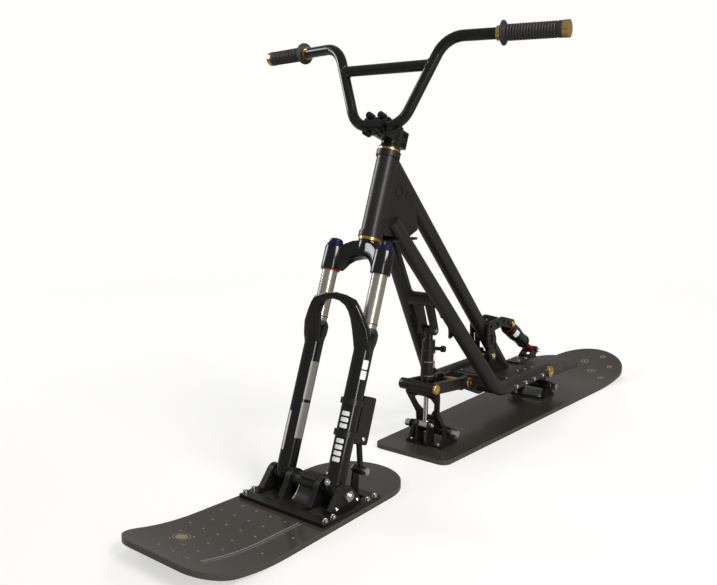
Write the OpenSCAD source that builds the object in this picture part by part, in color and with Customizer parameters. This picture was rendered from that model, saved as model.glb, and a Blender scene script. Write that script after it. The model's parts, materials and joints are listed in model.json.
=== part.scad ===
/* Snowscoot: a short steered board under a telescopic fork and a long rear
   board carried by a sprung frame. Millimetres, +X forward, +Y to the
   vehicle's left, +Z up, origin on the floor under the middle of its box. */

/* [Steering head] */
// Rake of the steering axis from the vertical
rake = 19.8; // [16:0.1:24]
// Height of the front axle above the floor
axle_h = 44.5; // [40:0.5:50]
// Length of the head tube
head_len = 186; // [160:1:210]
// Radius of the head tube
head_r = 22.5; // [21:0.1:25]
// Radius of the steerer
steerer_r = 14.3; // [13:0.05:15]

/* [Fork] */
// Offset of the fork legs ahead of the steering axis
fork_offset = 26; // [15:1:40]
// Distance between the two stanchions
leg_space = 130; // [120:1:140]
// Radius of a stanchion
stanchion_r = 16; // [15:0.1:17.5]
// Radius of a lower leg
leg_r = 19.5; // [18.5:0.1:22]
// Distance from the lower head bearing to the axle, along the legs
fork_len = 502; // [490:1:515]
// Distance from the lower head bearing to the foot of the crown
crown_drop = 73; // [62:1:80]
// Distance from the lower head bearing to the seals of the lower legs
seal_drop = 190; // [170:1:220]

/* [Handlebar] */
// Overall width of the handlebar
bar_w = 748; // [700:1:800]
// Radius of the handlebar
bar_r = 11.1; // [10:0.1:12]
// Rise of the handlebar above its clamp
bar_rise = 172; // [140:1:220]
// Width of the bar at its upper bends
bar_top_w = 274; // [240:1:320]
// Width of the straight part at the clamp
bar_low_w = 118; // [100:1:130]
// Backward reach of the grips from the upper bends
bar_back = 36; // [20:1:60]
// Reach of the stem
stem_reach = 53; // [45:1:65]
// Length of a grip
grip_len = 124; // [110:1:140]
// Radius of a grip
grip_r = 15.5; // [14:0.1:17]

/* [Frame] */
// Radius of the side tubes and the top tube
tube_r = 17.5; // [15:0.1:19]
// Height of the side rails above the floor
rail_z = 120; // [112:1:130]
// Distance between the centres of the two side rails
rail_space = 188; // [176:1:196]
// Distance from the head bearing back to the rear end of the rails
rail_back = 634; // [610:1:650]
// Bend radius of the side tubes
side_bend_r = 78; // [60:1:95]
// Width of the gusset behind the head tube
gusset_w = 30; // [24:1:36]
// Thickness of the foot plate
plate_t = 5; // [4:0.5:8]
// Distance from the head bearing back to the tail end of the deck
tail_back = 925; // [880:1:960]
// Drop of the tail plate to its rear end
tail_drop = 38; // [20:1:48]

/* [Boards] */
// Length of the rear board
rear_len = 1045; // [980:1:1090]
// Width of the rear board at its nose
rear_nose_w = 204; // [180:1:220]
// Width of the rear board at its tail
rear_tail_w = 246; // [220:1:260]
// Distance from the head bearing back to the rear board's nose
rear_nose_back = 142; // [120:1:170]
// Length of the front board
front_len = 606; // [560:1:640]
// Width of the front board at its rear end
front_rear_w = 220; // [205:1:235]
// Width of the front board at its tip
front_tip_w = 258; // [235:1:275]
// Distance from the head bearing back to the front board's rear end
front_rear_back = 38; // [20:1:50]
// Thickness of both boards
board_t = 11; // [9:0.5:14]
// Rise of the rear board's tail
tail_rise = 48; // [30:1:60]
// Rise of the front board's tip
tip_rise = 34; // [20:1:50]

/* [Trucks and linkages] */
// Distance from the head bearing back to the front linkage pivot
link_back = 190; // [184:1:200]
// Height of the front linkage pivot
link_z = 155; // [145:1:165]
// Half the width of the front linkage at its pivots
link_half = 40; // [36:1:44]
// Length of the link arms
link_len = 141; // [130:1:150]
// Distance from the head bearing back to the front truck's axle
truck_back = 236; // [226:1:246]
// Height of both truck axles above the floor
truck_z = 44; // [38:1:50]
// Distance from the head bearing back to the rear truck's axle
rear_truck_back = 742; // [720:1:760]
// Half the length of a truck axle between its nuts
truck_half = 60; // [52:1:66]
// Radius of a truck axle
truck_r = 5; // [4:0.1:6]

/* [Hidden] */

$fn = 48;
seat = 0.15;
run_gap = 0.05;
clear = 0.3;
tube_sides = 24;
bend_steps = 8;

half_rail = rail_space / 2;
half_leg = leg_space / 2;
head_x = (front_rear_back + rear_nose_back + rear_len - front_len) / 2;
tip_x = front_len - front_rear_back;
head_z = axle_h + fork_len * cos(rake) - fork_offset * sin(rake);

// Moves a piece from the head bearing's place to the model's origin
module at_head() { translate([head_x, 0, 0]) children(); }

// The steering frame: Z along the steering axis, X ahead of it
module at_steering() { at_head() translate([0, 0, head_z]) rotate([0, -rake, 0]) children(); }

// Both mirror images about the middle plane
module both() {
  children();
  mirror([0, 1, 0]) children();
}

// A point of the steering frame, seen from the head bearing
function steer_pt(u, v, w) = [u * cos(rake) - w * sin(rake), v, head_z + u * sin(rake) + w * cos(rake)];

// Round rod from point a to point b
module rod(a, b, r) {
  d = b - a;
  translate(a) rotate([0, acos(d[2] / norm(d)), atan2(d[1], d[0])]) cylinder(h = norm(d), r = r);
}

// Cross pin along Y, centred at [x, z]
module pin(x, z, half, r) {
  translate([x, 0, z]) rotate([90, 0, 0]) cylinder(h = 2 * half, r = r, center = true);
}

function unit(v) = v / norm(v);
function turn(a, b, c) = acos(unit(b - a) * unit(c - b));
function tangent_len(a, b, c, r) = r * tan(turn(a, b, c) / 2);

// Places and directions along the arc of bend radius r at corner b, between a and c
function bend(a, b, c, r) =
  let (e = unit(b - a), n = unit(cross(e, unit(c - b))), m = cross(n, e), th = turn(a, b, c),
       o = b - e * tangent_len(a, b, c, r) + m * r)
  [for (k = [0 : bend_steps]) let (g = th * k / bend_steps)
     [o + r * (e * sin(g) - m * cos(g)), e * cos(g) + m * sin(g)]];

function ring(at, dir, ref, r) =
  let (u = unit(cross(ref, dir)), v = cross(dir, u))
  [for (i = [0 : tube_sides - 1]) at + r * (cos(i * 360 / tube_sides) * u + sin(i * 360 / tube_sides) * v)];

// Bent tube of radius r through points, with a bend radius for each inner point; ref is a
// direction that no part of the tube runs along
module bent_tube(pts, bends, r, ref) {
  last = len(pts) - 1;
  way = concat([[pts[0], unit(pts[1] - pts[0])]],
               [for (i = [1 : last - 1]) each bend(pts[i - 1], pts[i], pts[i + 1], bends[i - 1])],
               [[pts[last], unit(pts[last] - pts[last - 1])]]);
  n = tube_sides;
  rings = len(way);
  polyhedron([for (w = way) each ring(w[0], w[1], ref, r)],
             concat([[for (i = [0 : n - 1]) i], [for (i = [n - 1 : -1 : 0]) (rings - 1) * n + i]],
                    [for (k = [0 : rings - 2], i = [0 : n - 1])
                       [k * n + i, (k + 1) * n + i, (k + 1) * n + (i + 1) % n, k * n + (i + 1) % n]]));
}

// Flat plate drawn in the XZ plane, centred on y = 0
module side_plate(t) { rotate([90, 0, 0]) linear_extrude(t, center = true) children(); }

// Outline round a chain of circles [x, z, r]
module chain(c) {
  for (i = [0 : len(c) - 2]) hull() for (k = [i, i + 1]) translate([c[k][0], c[k][1]])
    circle(r = c[k][2], $fn = 32);
}

// Steering head
ring_h = 5;
bore_r = steerer_r + 3;
flare_r = head_r + 3;
flare_h = 12;

module head_tube() {
  color("#1b1a19") at_steering() difference() {
    union() {
      translate([0, 0, ring_h]) cylinder(h = head_len, r = head_r);
      for (w = [ring_h, ring_h + head_len - flare_h]) translate([0, 0, w])
        cylinder(h = flare_h, r = flare_r);
    }
    translate([0, 0, -1]) cylinder(h = head_len + 4 * ring_h, r = bore_r);
  }
}

module head_rings() {
  color("#c9a227") at_steering() for (w = [0, ring_h + head_len]) translate([0, 0, w]) difference() {
    cylinder(h = ring_h, r = head_r + 1);
    translate([0, 0, -1]) cylinder(h = ring_h + 2, r = steerer_r + run_gap);
  }
}

// Frame tubes, all from the head bearing's place
top_from = [-95, 0, head_z + 132];
top_foot = [-566, 0, rail_z + plate_t];
side_top = [-96, 20.5, head_z - 14];
side_corner = [-371, half_rail, rail_z];
side_end = [-rail_back, half_rail, rail_z];

module top_line(grow = 0) {
  at_head() rod(top_from + (top_from - top_foot) * 0.074, top_foot, tube_r + grow);
}
module side_line() {
  at_head() bent_tube([side_top, side_corner, side_end], [side_bend_r], tube_r, [0, 1, 0]);
}

// Room that the straight runs of a side tube take in what is coped to them
module side_cope() {
  at_head() {
    rod(side_top + unit(side_top - side_corner) * seat, side_corner, tube_r + clear);
    rod(side_corner, side_end + [-5, 0, 0], tube_r + clear);
  }
}

module head_solid() { at_steering() cylinder(h = head_len + 2 * ring_h, r = head_r + seat); }
module head_flares() {
  at_steering() for (w = [0, ring_h + head_len - flare_h]) translate([0, 0, w])
    cylinder(h = flare_h + ring_h, r = flare_r + seat);
}

// Box gusset between the head tube and the side tubes, whose upper ends show on its sides.
// Points are [back from, above] the lower bearing.
gusset_pts = [[-5, 14], [-50, 147], [-84, 137], [-140, 77], [-150, 12], [-100, -8], [-60, 4]];
side_rise = 62;
badge_at = [-82, 98];
badge_r = 13;
badge_deep = 1.6;
groove_r = 27;
groove_w = 2.4;
shelf_t = 5;

// Flat round recess and the curved groove behind it
module gusset_marks() {
  translate(badge_at) difference() {
    circle(r = badge_r);
    circle(r = badge_r - groove_w);
  }
  translate(badge_at) intersection() {
    difference() {
      circle(r = groove_r + groove_w);
      circle(r = groove_r);
    }
    polygon([[0, 0], [-60, 50], [-60, -70]]);
  }
}

module gusset() {
  color("#1e1d1b") difference() {
    union() {
      at_head() translate([0, 0, head_z]) side_plate(gusset_w) polygon(gusset_pts);
      both() at_head() rod(side_top + unit(side_top - side_corner) * side_rise, side_top, tube_r);
      at_head() translate([-134, -26, head_z - shelf_t - 2]) cube([88, 52, shelf_t]);
    }
    both() at_head() translate([0, gusset_w / 2 - badge_deep / 2 + seat, head_z]) side_plate(badge_deep)
      gusset_marks();
    head_solid();
    head_flares();
    top_line(seat);
    both() side_cope();
  }
}

module top_tube() {
  color("#1e1d1b") difference() {
    top_line();
    head_solid();
    head_flares();
    at_head() translate([-700, -50, 0]) cube([400, 100, rail_z + plate_t + seat]);
  }
}

module side_tube_left() { color("#1b1a19") side_line(); }
module side_tube_right() { color("#1b1a19") mirror([0, 1, 0]) side_line(); }

// Cross tube between the side tubes, with its webs and the two tabs of the front shock
cross_f = 0.36;
cross_at = side_top + (side_corner - side_top) * cross_f;
cross_r = 15.5;
shock_top = [-222, 284];
shock_foot = [-208, 60];
eye_r = 12;
tab_t = 5;
shock_eye_half = 12;
web_t = 6;

// Web below the cross tube, hollowed on its front, that runs into the side tube
module cross_web() {
  low = cross_at + (side_corner - cross_at) * 0.36;
  translate([0, cross_at[1] - 3, 0]) side_plate(web_t) difference() {
    polygon([[cross_at[0] + 12, cross_at[2] - 6], [cross_at[0] - 16, cross_at[2] + 4], [low[0], low[2]],
             [low[0] + 18, low[2] - 8]]);
    translate([low[0] + 62, low[2] + 4]) circle(r = 42);
  }
}

module cross_tube() {
  color("#1e1d1b") difference() {
    at_head() {
      translate([cross_at[0], 0, cross_at[2]]) rotate([90, 0, 0])
        cylinder(h = 2 * cross_at[1], r = cross_r, center = true);
      both() translate([0, shock_eye_half + clear + tab_t / 2, 0]) side_plate(tab_t) hull() {
        translate([shock_top[0], shock_top[1]]) circle(r = eye_r, $fn = 32);
        translate([cross_at[0], cross_at[2]]) circle(r = cross_r - 1, $fn = 32);
      }
      both() cross_web();
    }
    both() side_cope();
    at_head() pin(shock_top[0], shock_top[1], 60, 4 + run_gap);
  }
}

// Bracket under the tubes that holds the rear ends of the link arms
link_top = [-link_back, link_z];
link_end = [-link_back - link_len, 141];
arm_t = 10;
hang_t = 8;
hang_y = link_half - arm_t - clear - hang_t / 2;

module link_bracket() {
  color("#191817") difference() {
    at_head() {
      both() translate([0, hang_y, 0]) side_plate(hang_t)
        polygon([[link_end[0] + 14, link_end[1] - 12], [link_end[0] + 12, link_end[1] + 12],
          [link_end[0] - 22, link_end[1] + 14],
                 [-444, rail_z - 6], [-444, rail_z - 24], [-400, rail_z - 26]]);
      translate([-444, -half_rail + 1, rail_z - 20]) cube([28, rail_space - 2, 12]);
      translate([-400, 0, rail_z - 8]) rotate([90, 0, 0]) cylinder(h = rail_space, r = 9, center = true);
    }
    both() side_cope();
    at_head() pin(link_end[0], link_end[1], 80, 6 + run_gap);
  }
}

// Deck
plate_front = -446;
plate_rear = -rail_back + 4;
plate_half = half_rail - tube_r - seat;
plate_top = rail_z + plate_t;

// Holes for foot straps
strap_x = [-520, -600];
strap_y = 52;
strap_r = 3.2;
slot_y = 43;
slot_w = 9;
slot_len = 52;

module foot_plate() {
  color("#24231f") at_head() difference() {
    union() {
      translate([plate_rear, -plate_half, rail_z])
        cube([plate_front - plate_rear, 2 * plate_half, plate_t]);
      both() translate([plate_rear, plate_half - plate_t, rail_z - 14])
        cube([plate_front - plate_rear, plate_t, 14]);
    }
    for (s = [-1, 1]) translate([plate_front - 16, s * slot_y, rail_z - 1])
      cube([slot_w, slot_len, 20], center = true);
    for (x = strap_x, s = [-1, 1]) translate([x, s * strap_y, rail_z - 1]) cylinder(h = 20, r = strap_r);
  }
}

// Tail plate: an arched fender that slopes down to its round rear end
arch_r = 240;
tail_half = 78;
tail_hole_r = 3;
tail_holes = [[40, 62], [90, 60], [140, 58], [190, 56]];

module tail_plate() {
  color("#26251f") at_head() intersection() {
    translate([-rail_back, 0, plate_top]) rotate([0, -atan(tail_drop / (tail_back - rail_back)), 0])
      rotate([0, -90, 0])
      translate([-arch_r, 0, -8]) difference() {
        cylinder(h = 320, r = arch_r, $fn = 180);
        translate([0, 0, -1]) cylinder(h = 322, r = arch_r - plate_t, $fn = 180);
      }
    translate([0, 0, 40]) linear_extrude(120) difference() {
      hull() {
        translate([-tail_back + tail_half, 0]) circle(r = tail_half, $fn = 64);
        for (s = [-1, 1]) translate([-rail_back - 9, s * (half_rail - 4)]) circle(r = 8, $fn = 32);
      }
      for (h = tail_holes, s = [-1, 1]) translate([-rail_back - h[0], s * h[1]]) circle(r = tail_hole_r);
      translate([-rail_back - 8, -40]) square([20, 80]);
    }
  }
}

// Bolts and caps on the rails' outer sides, as distances back from the bearing
bolt_pitch = 45;
bolt_back = 439;
bolt_head_r = 5;
bolt_head_h = 3.2;
cap_back = rail_back - 16;
cap_r = 14;

module deck_bolts() {
  color("#cfd0cf") at_head() both() difference() {
    for (i = [0 : 3]) translate([-bolt_back - i * bolt_pitch, half_rail, rail_z]) rotate([-90, 0, 0])
      cylinder(h = tube_r + bolt_head_h, r = bolt_head_r);
    rod(side_corner, side_end, tube_r + seat);
  }
}

module rail_caps() {
  color("#c9a227") at_head() both() difference() {
    translate([-cap_back, half_rail, rail_z]) rotate([-90, 0, 0]) cylinder(h = tube_r + 4, r = cap_r);
    rod(side_corner, side_end + [-5, 0, 0], tube_r + seat);
  }
}

// Front shock, linkage and truck
function on_line(p, q, d) = p + (q - p) / norm(q - p) * d;
function up3(p) = [p[0], 0, p[1]];

shock_len = norm(shock_top - shock_foot);
module shock_run(from, to, r) {
  rod(up3(on_line(shock_top, shock_foot, from)), up3(on_line(shock_top, shock_foot, to)), r);
}

module front_shock_body() {
  color("#151515") at_head() difference() {
    union() {
      shock_run(6, 26, 9);
      shock_run(24, 46, 15);
      shock_run(46, 124, 16.2);
      pin(shock_top[0], shock_top[1], shock_eye_half, eye_r - 2);
      translate([shock_top[0] - 12, 6, shock_top[1] - 46]) rotate([-90, 0, 20]) cylinder(h = 24, r = 4.5);
    }
    pin(shock_top[0], shock_top[1], 60, 4 + run_gap);
  }
}

module front_shock_shaft() {
  color("#c8c8c6") at_head() difference() {
    union() {
      shock_run(124 + seat, shock_len - 4, 5.5);
      pin(shock_foot[0], shock_foot[1], shock_eye_half, eye_r - 2);
    }
    pin(shock_foot[0], shock_foot[1], 60, 4 + run_gap);
  }
}

module shock_bolts() {
  color("#cfd0cf") at_head() for (p = [shock_top, shock_foot]) {
    pin(p[0], p[1], shock_eye_half + tab_t + 2, 4);
    both() translate([p[0], shock_eye_half + clear + tab_t + seat, p[1]]) rotate([-90, 0, 0])
      cylinder(h = 4, r = 7);
  }
}

module link_arms() {
  color("#1d1c1a") at_head() difference() {
    both() translate([0, link_half - arm_t / 2, 0]) side_plate(arm_t)
      hull() for (p = [link_top, link_end]) translate(p) circle(r = 13, $fn = 48);
    for (p = [link_top, link_end]) pin(p[0], p[1], 80, 6 + run_gap);
  }
}

module link_axles() {
  color("#c9a227") at_head() for (p = [link_top, link_end]) {
    pin(p[0], p[1], link_half + 1, 6);
    both() translate([p[0], link_half + seat, p[1]]) rotate([-90, 0, 0]) cylinder(h = 4, r = 12);
  }
}

// Upright between the truck axle and the link arms: a waisted frame with windows, drawn in
// its own plane with the height along the line from the axle to the pivot
upright_h = norm(link_top - [-truck_back, truck_z]);
barrel_half = link_half - arm_t - clear;
waist_h = 46;
waist_half = 17;
upright_t = 11;
upright_windows = [[[-13, 96], [13, 96], [8, 106], [-8, 106]],
                   [[-9, 40], [9, 40], [13, 90], [-13, 90]],
                   [[-10, 12], [10, 12], [8, 34], [-8, 34]]];

module front_upright() {
  color("#191817") at_head() difference() {
    union() {
      translate([-truck_back, 0, truck_z]) rotate([0, atan2(truck_back - link_back, link_z - truck_z), 0])
        rotate([90, 0, 90])
        linear_extrude(upright_t, center = true) difference() {
          polygon([[-26, 0], [26, 0], [24, 14], [waist_half, waist_h], [waist_half + 1, waist_h + 16],
            [barrel_half, upright_h],
                   [-barrel_half, upright_h], [-waist_half - 1, waist_h + 16], [-waist_half, waist_h],
                     [-24, 14]]);
          for (w = upright_windows) polygon(w);
        }
      pin(link_top[0], link_top[1], barrel_half, 9);
      pin(-truck_back, truck_z, base_half - 9.5 - clear, 12);
    }
    pin(link_top[0], link_top[1], 80, 6 + run_gap);
    pin(-truck_back, truck_z, 80, truck_r + run_gap);
  }
}

base_half = 50;
module truck_base(back) {
  difference() {
    union() {
      translate([-back - 34, -base_half, board_t]) cube([68, 2 * base_half, 6]);
      both() translate([0, base_half - 5, 0]) side_plate(9)
        hull() {
          translate([-back, truck_z]) circle(r = 12, $fn = 48);
          translate([-back - 26, board_t + 1]) square([52, 4]);
        }
    }
    pin(-back, truck_z, 80, truck_r + run_gap);
  }
}
module front_truck_base() {
  color("#161615") at_head() {
    truck_base(truck_back);
    both() translate([0, shock_eye_half + clear + tab_t / 2, 0]) side_plate(tab_t) difference() {
      hull() {
        translate(shock_foot) circle(r = eye_r, $fn = 32);
        translate([shock_foot[0] - 14, board_t + 3]) square([30, 3]);
      }
      translate(shock_foot) circle(r = 4 + run_gap);
    }
  }
}
module rear_truck_base() { color("#161615") at_head() truck_base(rear_truck_back); }

module truck_axle(back) {
  pin(-back, truck_z, truck_half + 10, truck_r);
  both() for (y = [truck_half, truck_half + 7]) translate([-back, y, truck_z]) rotate([-90, 0, 0])
    cylinder(h = 6, r = 9, $fn = 6);
}
module front_truck_axle() { color("#c8c8c6") at_head() truck_axle(truck_back); }
module rear_truck_axle() { color("#c8c8c6") at_head() truck_axle(rear_truck_back); }

// Rear linkage
rock_top = [-566, 246];
rock_piv = [-468, 178];
shock_tail = [-724, 145];
rock_y = 24;
rock_t = 6;
rock_bolt_r = 4;
// Bell-crank plate and its windows as [back, height, radius]
rock_back = [[-456, 254, 14], [-464, 218, 20], [-468, 180, 17]];
rock_arm = [[-456, 254, 14], [-515, 260, 12], [-566, 246, 12]];
rock_windows = [[[-462, 214, 5.5], [-460, 232, 5.5]], [[-479, 196, 3.5], [-477, 207, 3.5]]];
rock_holes = [[-456, 256, 5], [-488, 257, 6], [-520, 258, 6], [-543, 252, 4.5], [-476, 228, 3.5],
  [-450, 200, 4.5]];

module rocker_plates() {
  color("#2a2926") at_head() difference() {
    both() translate([0, rock_y, 0]) side_plate(rock_t) difference() {
      union() {
        chain(rock_back);
        chain(rock_arm);
      }
      for (w = rock_windows) chain(w);
      for (h = rock_holes) translate([h[0], h[1]]) circle(r = h[2]);
    }
    for (p = [rock_top, rock_piv]) pin(p[0], p[1], 60, rock_bolt_r + run_gap);
  }
}

module rocker_axles() {
  color("#c9a227") at_head() for (p = [rock_top, rock_piv]) {
    pin(p[0], p[1], rock_y + rock_t, rock_bolt_r);
    both() translate([p[0], rock_y + rock_t / 2 + clear, p[1]]) rotate([-90, 0, 0])
      cylinder(h = 3, r = 8.5);
  }
}

module rocker_foot() {
  color("#1d1c1a") difference() {
    at_head() {
      both() translate([0, 14.5, 0]) side_plate(8)
        polygon([[-452, 192], [-484, 192], [-500, 160], [-552, plate_top + seat],
          [-466, plate_top + seat]]);
    }
    at_head() pin(rock_piv[0], rock_piv[1], 60, 4 + run_gap);
    top_line(seat);
  }
}

// Stepped can of the rear shock as [from, to, radius] along it
rear_can = [[6, 22, 10], [20, 28, 17], [30, 74, 20], [28, 78, 17], [78, 84, 19], [84, 126, 17],
  [126, 131, 18.5]];

module rear_shock_body() {
  color("#171717") at_head() difference() {
    union() {
      for (c = rear_can) rod(up3(on_line(rock_top, shock_tail, c[0])),
        up3(on_line(rock_top, shock_tail, c[1])), c[2]);
      pin(rock_top[0], rock_top[1], rock_y - rock_t / 2 - clear, 10);
    }
    pin(rock_top[0], rock_top[1], 60, 4 + run_gap);
  }
}

rear_shock_len = norm(shock_tail - rock_top);
module rear_shock_shaft() {
  color("#b93a34") at_head() difference() {
    union() {
      rod(up3(on_line(rock_top, shock_tail, 131 + seat)),
        up3(on_line(rock_top, shock_tail, rear_shock_len - 4)), 7);
      pin(shock_tail[0], shock_tail[1], 11, 10);
    }
    pin(shock_tail[0], shock_tail[1], 60, 4 + run_gap);
  }
}

clevis_t = 6;
clevis_len = 104;
module shock_clevis() {
  color("#1d1c1a") at_head() {
    both() translate([0, 11 + clear + clevis_t / 2, 0]) side_plate(clevis_t) hull() {
      translate(shock_tail) circle(r = 10, $fn = 32);
      translate([shock_tail[0] + 6, plate_top + 2]) square([36, 4]);
    }
    translate([shock_tail[0] + 4, -20, plate_top + seat]) cube([clevis_len, 40, 5]);
    pin(shock_tail[0], shock_tail[1], 21, rock_bolt_r);
  }
}

arm_end = [-470, 88];
arm_tail = [-rear_truck_back + 10, 78];
rear_arm_y = 24;
rear_arm_t = 8;
module rear_arm() {
  color("#161615") at_head() {
    both() translate([0, rear_arm_y, 0]) side_plate(rear_arm_t) {
      hull() for (p = [arm_end, arm_tail]) translate(p) circle(r = 9, $fn = 32);
      polygon([[-486, 88], [-454, 88], [-452, rail_z - seat], [-500, rail_z - seat]]);
    }
    pin(arm_tail[0], arm_tail[1], 2 * (rear_arm_y - rear_arm_t / 2) + clear, 8);
  }
}

module rear_upright() {
  color("#191817") at_head() difference() {
    union() {
      both() translate([0, rear_arm_y + rear_arm_t + clear, 0]) side_plate(rear_arm_t)
        hull() {
          translate(arm_tail) circle(r = 13, $fn = 32);
          translate([-rear_truck_back, truck_z]) circle(r = 12, $fn = 32);
        }
      pin(-rear_truck_back, truck_z, base_half - 9.5 - clear, 11);
    }
    pin(-rear_truck_back, truck_z, 80, truck_r + run_gap);
    pin(arm_tail[0], arm_tail[1], 80, 8 + seat);
  }
}

// Boards
arc_steps = 10;

// Side view of a board: flat from x0 to x1, then an arc up to height rise at x2
function rise_r(run, rise) = (run * run + rise * rise) / (2 * rise);
function board_side(x0, x1, x2, rise, t) =
  let (run = abs(x2 - x1), s = sign(x2 - x1), r = rise_r(run, rise), a = asin(run / r))
  concat([[x0, t], [x0, 0]],
         [for (i = [0 : arc_steps]) [x1 + s * r * sin(a * i / arc_steps), r - r * cos(a * i / arc_steps)]],
         [for (i = [arc_steps : -1 : 0]) [x1 + s * (r - t) * sin(a * i / arc_steps),
           r - (r - t) * cos(a * i / arc_steps)]]);

module rear_outline() {
  hull() {
    translate([-rear_nose_back - rear_len + rear_tail_w / 2, 0]) circle(d = rear_tail_w, $fn = 96);
    for (s = [-1, 1]) translate([-rear_nose_back - 22, s * (rear_nose_w / 2 - 22)])
      circle(r = 22, $fn = 48);
  }
}

module rear_board() {
  color("#2b2a28") at_head() intersection() {
    rotate([90, 0, 0]) linear_extrude(400, center = true)
      polygon(board_side(-rear_nose_back + 10, -rear_nose_back - rear_len + 250,
        -rear_nose_back - rear_len - 5, tail_rise, board_t));
    linear_extrude(150) rear_outline();
  }
}

module front_outline() {
  hull() {
    translate([-front_rear_back + front_rear_w / 2, 0]) circle(d = front_rear_w, $fn = 96);
    for (s = [-1, 1]) translate([tip_x - 62, s * (front_tip_w / 2 - 62)]) circle(r = 62, $fn = 64);
    intersection() {
      translate([tip_x - 330, 0]) circle(r = 330, $fn = 180);
      translate([tip_x - 60, -80]) square([60, 160]);
    }
  }
}

module front_board() {
  color("#2b2a28") at_head() intersection() {
    rotate([90, 0, 0]) linear_extrude(400, center = true)
      polygon(board_side(-front_rear_back - 10, tip_x - 190, tip_x + 5, tip_rise, board_t));
    linear_extrude(150) front_outline();
  }
}

// Fork
// Crown casting: the outline seen from the front, cut to the swept plan of its arms
boss_top = -24;
boss_r = 22;
hub_r = 21;
arm_in = 1.7;
crown_arch_r = 45;
crown_face = [[-30, -4], [30, -4], [66, -22], [90, -30], [90, -crown_drop], [-90, -crown_drop], [-90, -30],
  [-66, -22]];
steerer_top = 66;
cap_seat_r = 20;

module crown_plan() {
  both() hull() {
    circle(r = hub_r - arm_in, $fn = 32);
    translate([fork_offset, half_leg]) circle(r = boss_r - arm_in, $fn = 32);
  }
}

module fork_crown() {
  color("#101010") at_steering() difference() {
    union() {
      cylinder(h = head_len + steerer_top, r = steerer_r);
      translate([0, 0, -40]) cylinder(h = 38, r = hub_r);
      both() translate([fork_offset, half_leg, -crown_drop])
        cylinder(h = crown_drop + boss_top, r = boss_r);
      intersection() {
        translate([0, 0, -crown_drop + 1.5]) linear_extrude(crown_drop) crown_plan();
        rotate([90, 0, 90]) linear_extrude(140, center = true) difference() {
          polygon(crown_face);
          translate([0, -crown_drop - 14]) circle(r = crown_arch_r, $fn = 96);
        }
      }
    }
    both() translate([fork_offset, half_leg, -crown_drop - 1])
      cylinder(h = crown_drop + boss_top - 8, r = stanchion_r + run_gap);
    both() translate([fork_offset, half_leg, boss_top]) cylinder(h = 40, r = cap_seat_r);
  }
}

// Length of stanchion inside the lower legs
overlap = 60;

module stanchion() {
  at_steering() translate([fork_offset, half_leg, -seal_drop - overlap])
    cylinder(h = seal_drop + overlap + boss_top - 10, r = stanchion_r);
}
module stanchion_left() { color("#a9a795") stanchion(); }
module stanchion_right() { color("#a9a795") mirror([0, 1, 0]) stanchion(); }

module crown_caps() {
  color("#1b1f4a") at_steering() both() translate([fork_offset, half_leg, boss_top + seat])
    cylinder(h = 10, r1 = 19, r2 = 14);
}

lug_r = 15;
lug_in = 10;
seal_h = 16;
seal_wall = 2.8;
arch_root = [fork_offset + 10, -seal_drop - 24];
arch_lean = 36;
arch_t = 18;
arch_top = 94;
arch_crown_r = 78;
arch_in = 30;
axle_r = 7.5;
// Horseshoe's outer outline, up from the legs, and the half width of its opening at the legs
arch_side = [[84, -14], [84, 14], [47, 80]];
arch_mouth = 44;

// Horseshoe arch that leans ahead of the stanchions
module fork_arch() {
  inner_top = arch_top - 22;
  translate([arch_root[0], 0, arch_root[1]]) rotate([0, arch_lean, 0]) rotate([90, 0, 90])
    linear_extrude(arch_t, center = true)
    difference() {
      union() {
        polygon(concat(arch_side, [for (k = [2 : -1 : 0]) [-arch_side[k][0], arch_side[k][1]]]));
        intersection() {
          translate([0, arch_top - arch_crown_r]) circle(r = arch_crown_r, $fn = 96);
          translate([-arch_side[2][0], arch_side[2][1] - 1]) square([2 * arch_side[2][0], 40]);
        }
      }
      translate([0, inner_top - arch_in]) circle(r = arch_in, $fn = 64);
      polygon([[-arch_in, inner_top - arch_in], [arch_in, inner_top - arch_in], [arch_mouth, -20],
        [-arch_mouth, -20]]);
    }
}

module fork_lowers() {
  color("#121212") at_steering() difference() {
    union() {
      both() {
        translate([fork_offset, half_leg, -fork_len + 2]) cylinder(h = fork_len - seal_drop - 2, r = leg_r);
        translate([fork_offset, half_leg, -seal_drop - seal_h]) cylinder(h = seal_h, r = leg_r + seal_wall);
        translate([fork_offset, half_leg, -seal_drop - 2 * seal_h])
          cylinder(h = seal_h, r1 = leg_r - 0.4, r2 = leg_r + seal_wall);
        translate([fork_offset, half_leg - lug_in, -fork_len]) rotate([-90, 0, 0])
          cylinder(h = lug_in + leg_r, r = lug_r);
      }
      fork_arch();
    }
    both() translate([fork_offset, half_leg, -seal_drop - 70]) cylinder(h = 90, r = stanchion_r + run_gap);
    translate([fork_offset, 0, -fork_len]) rotate([90, 0, 0])
      cylinder(h = 2 * half_leg + 100, r = axle_r + run_gap, center = true);
  }
}

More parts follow.
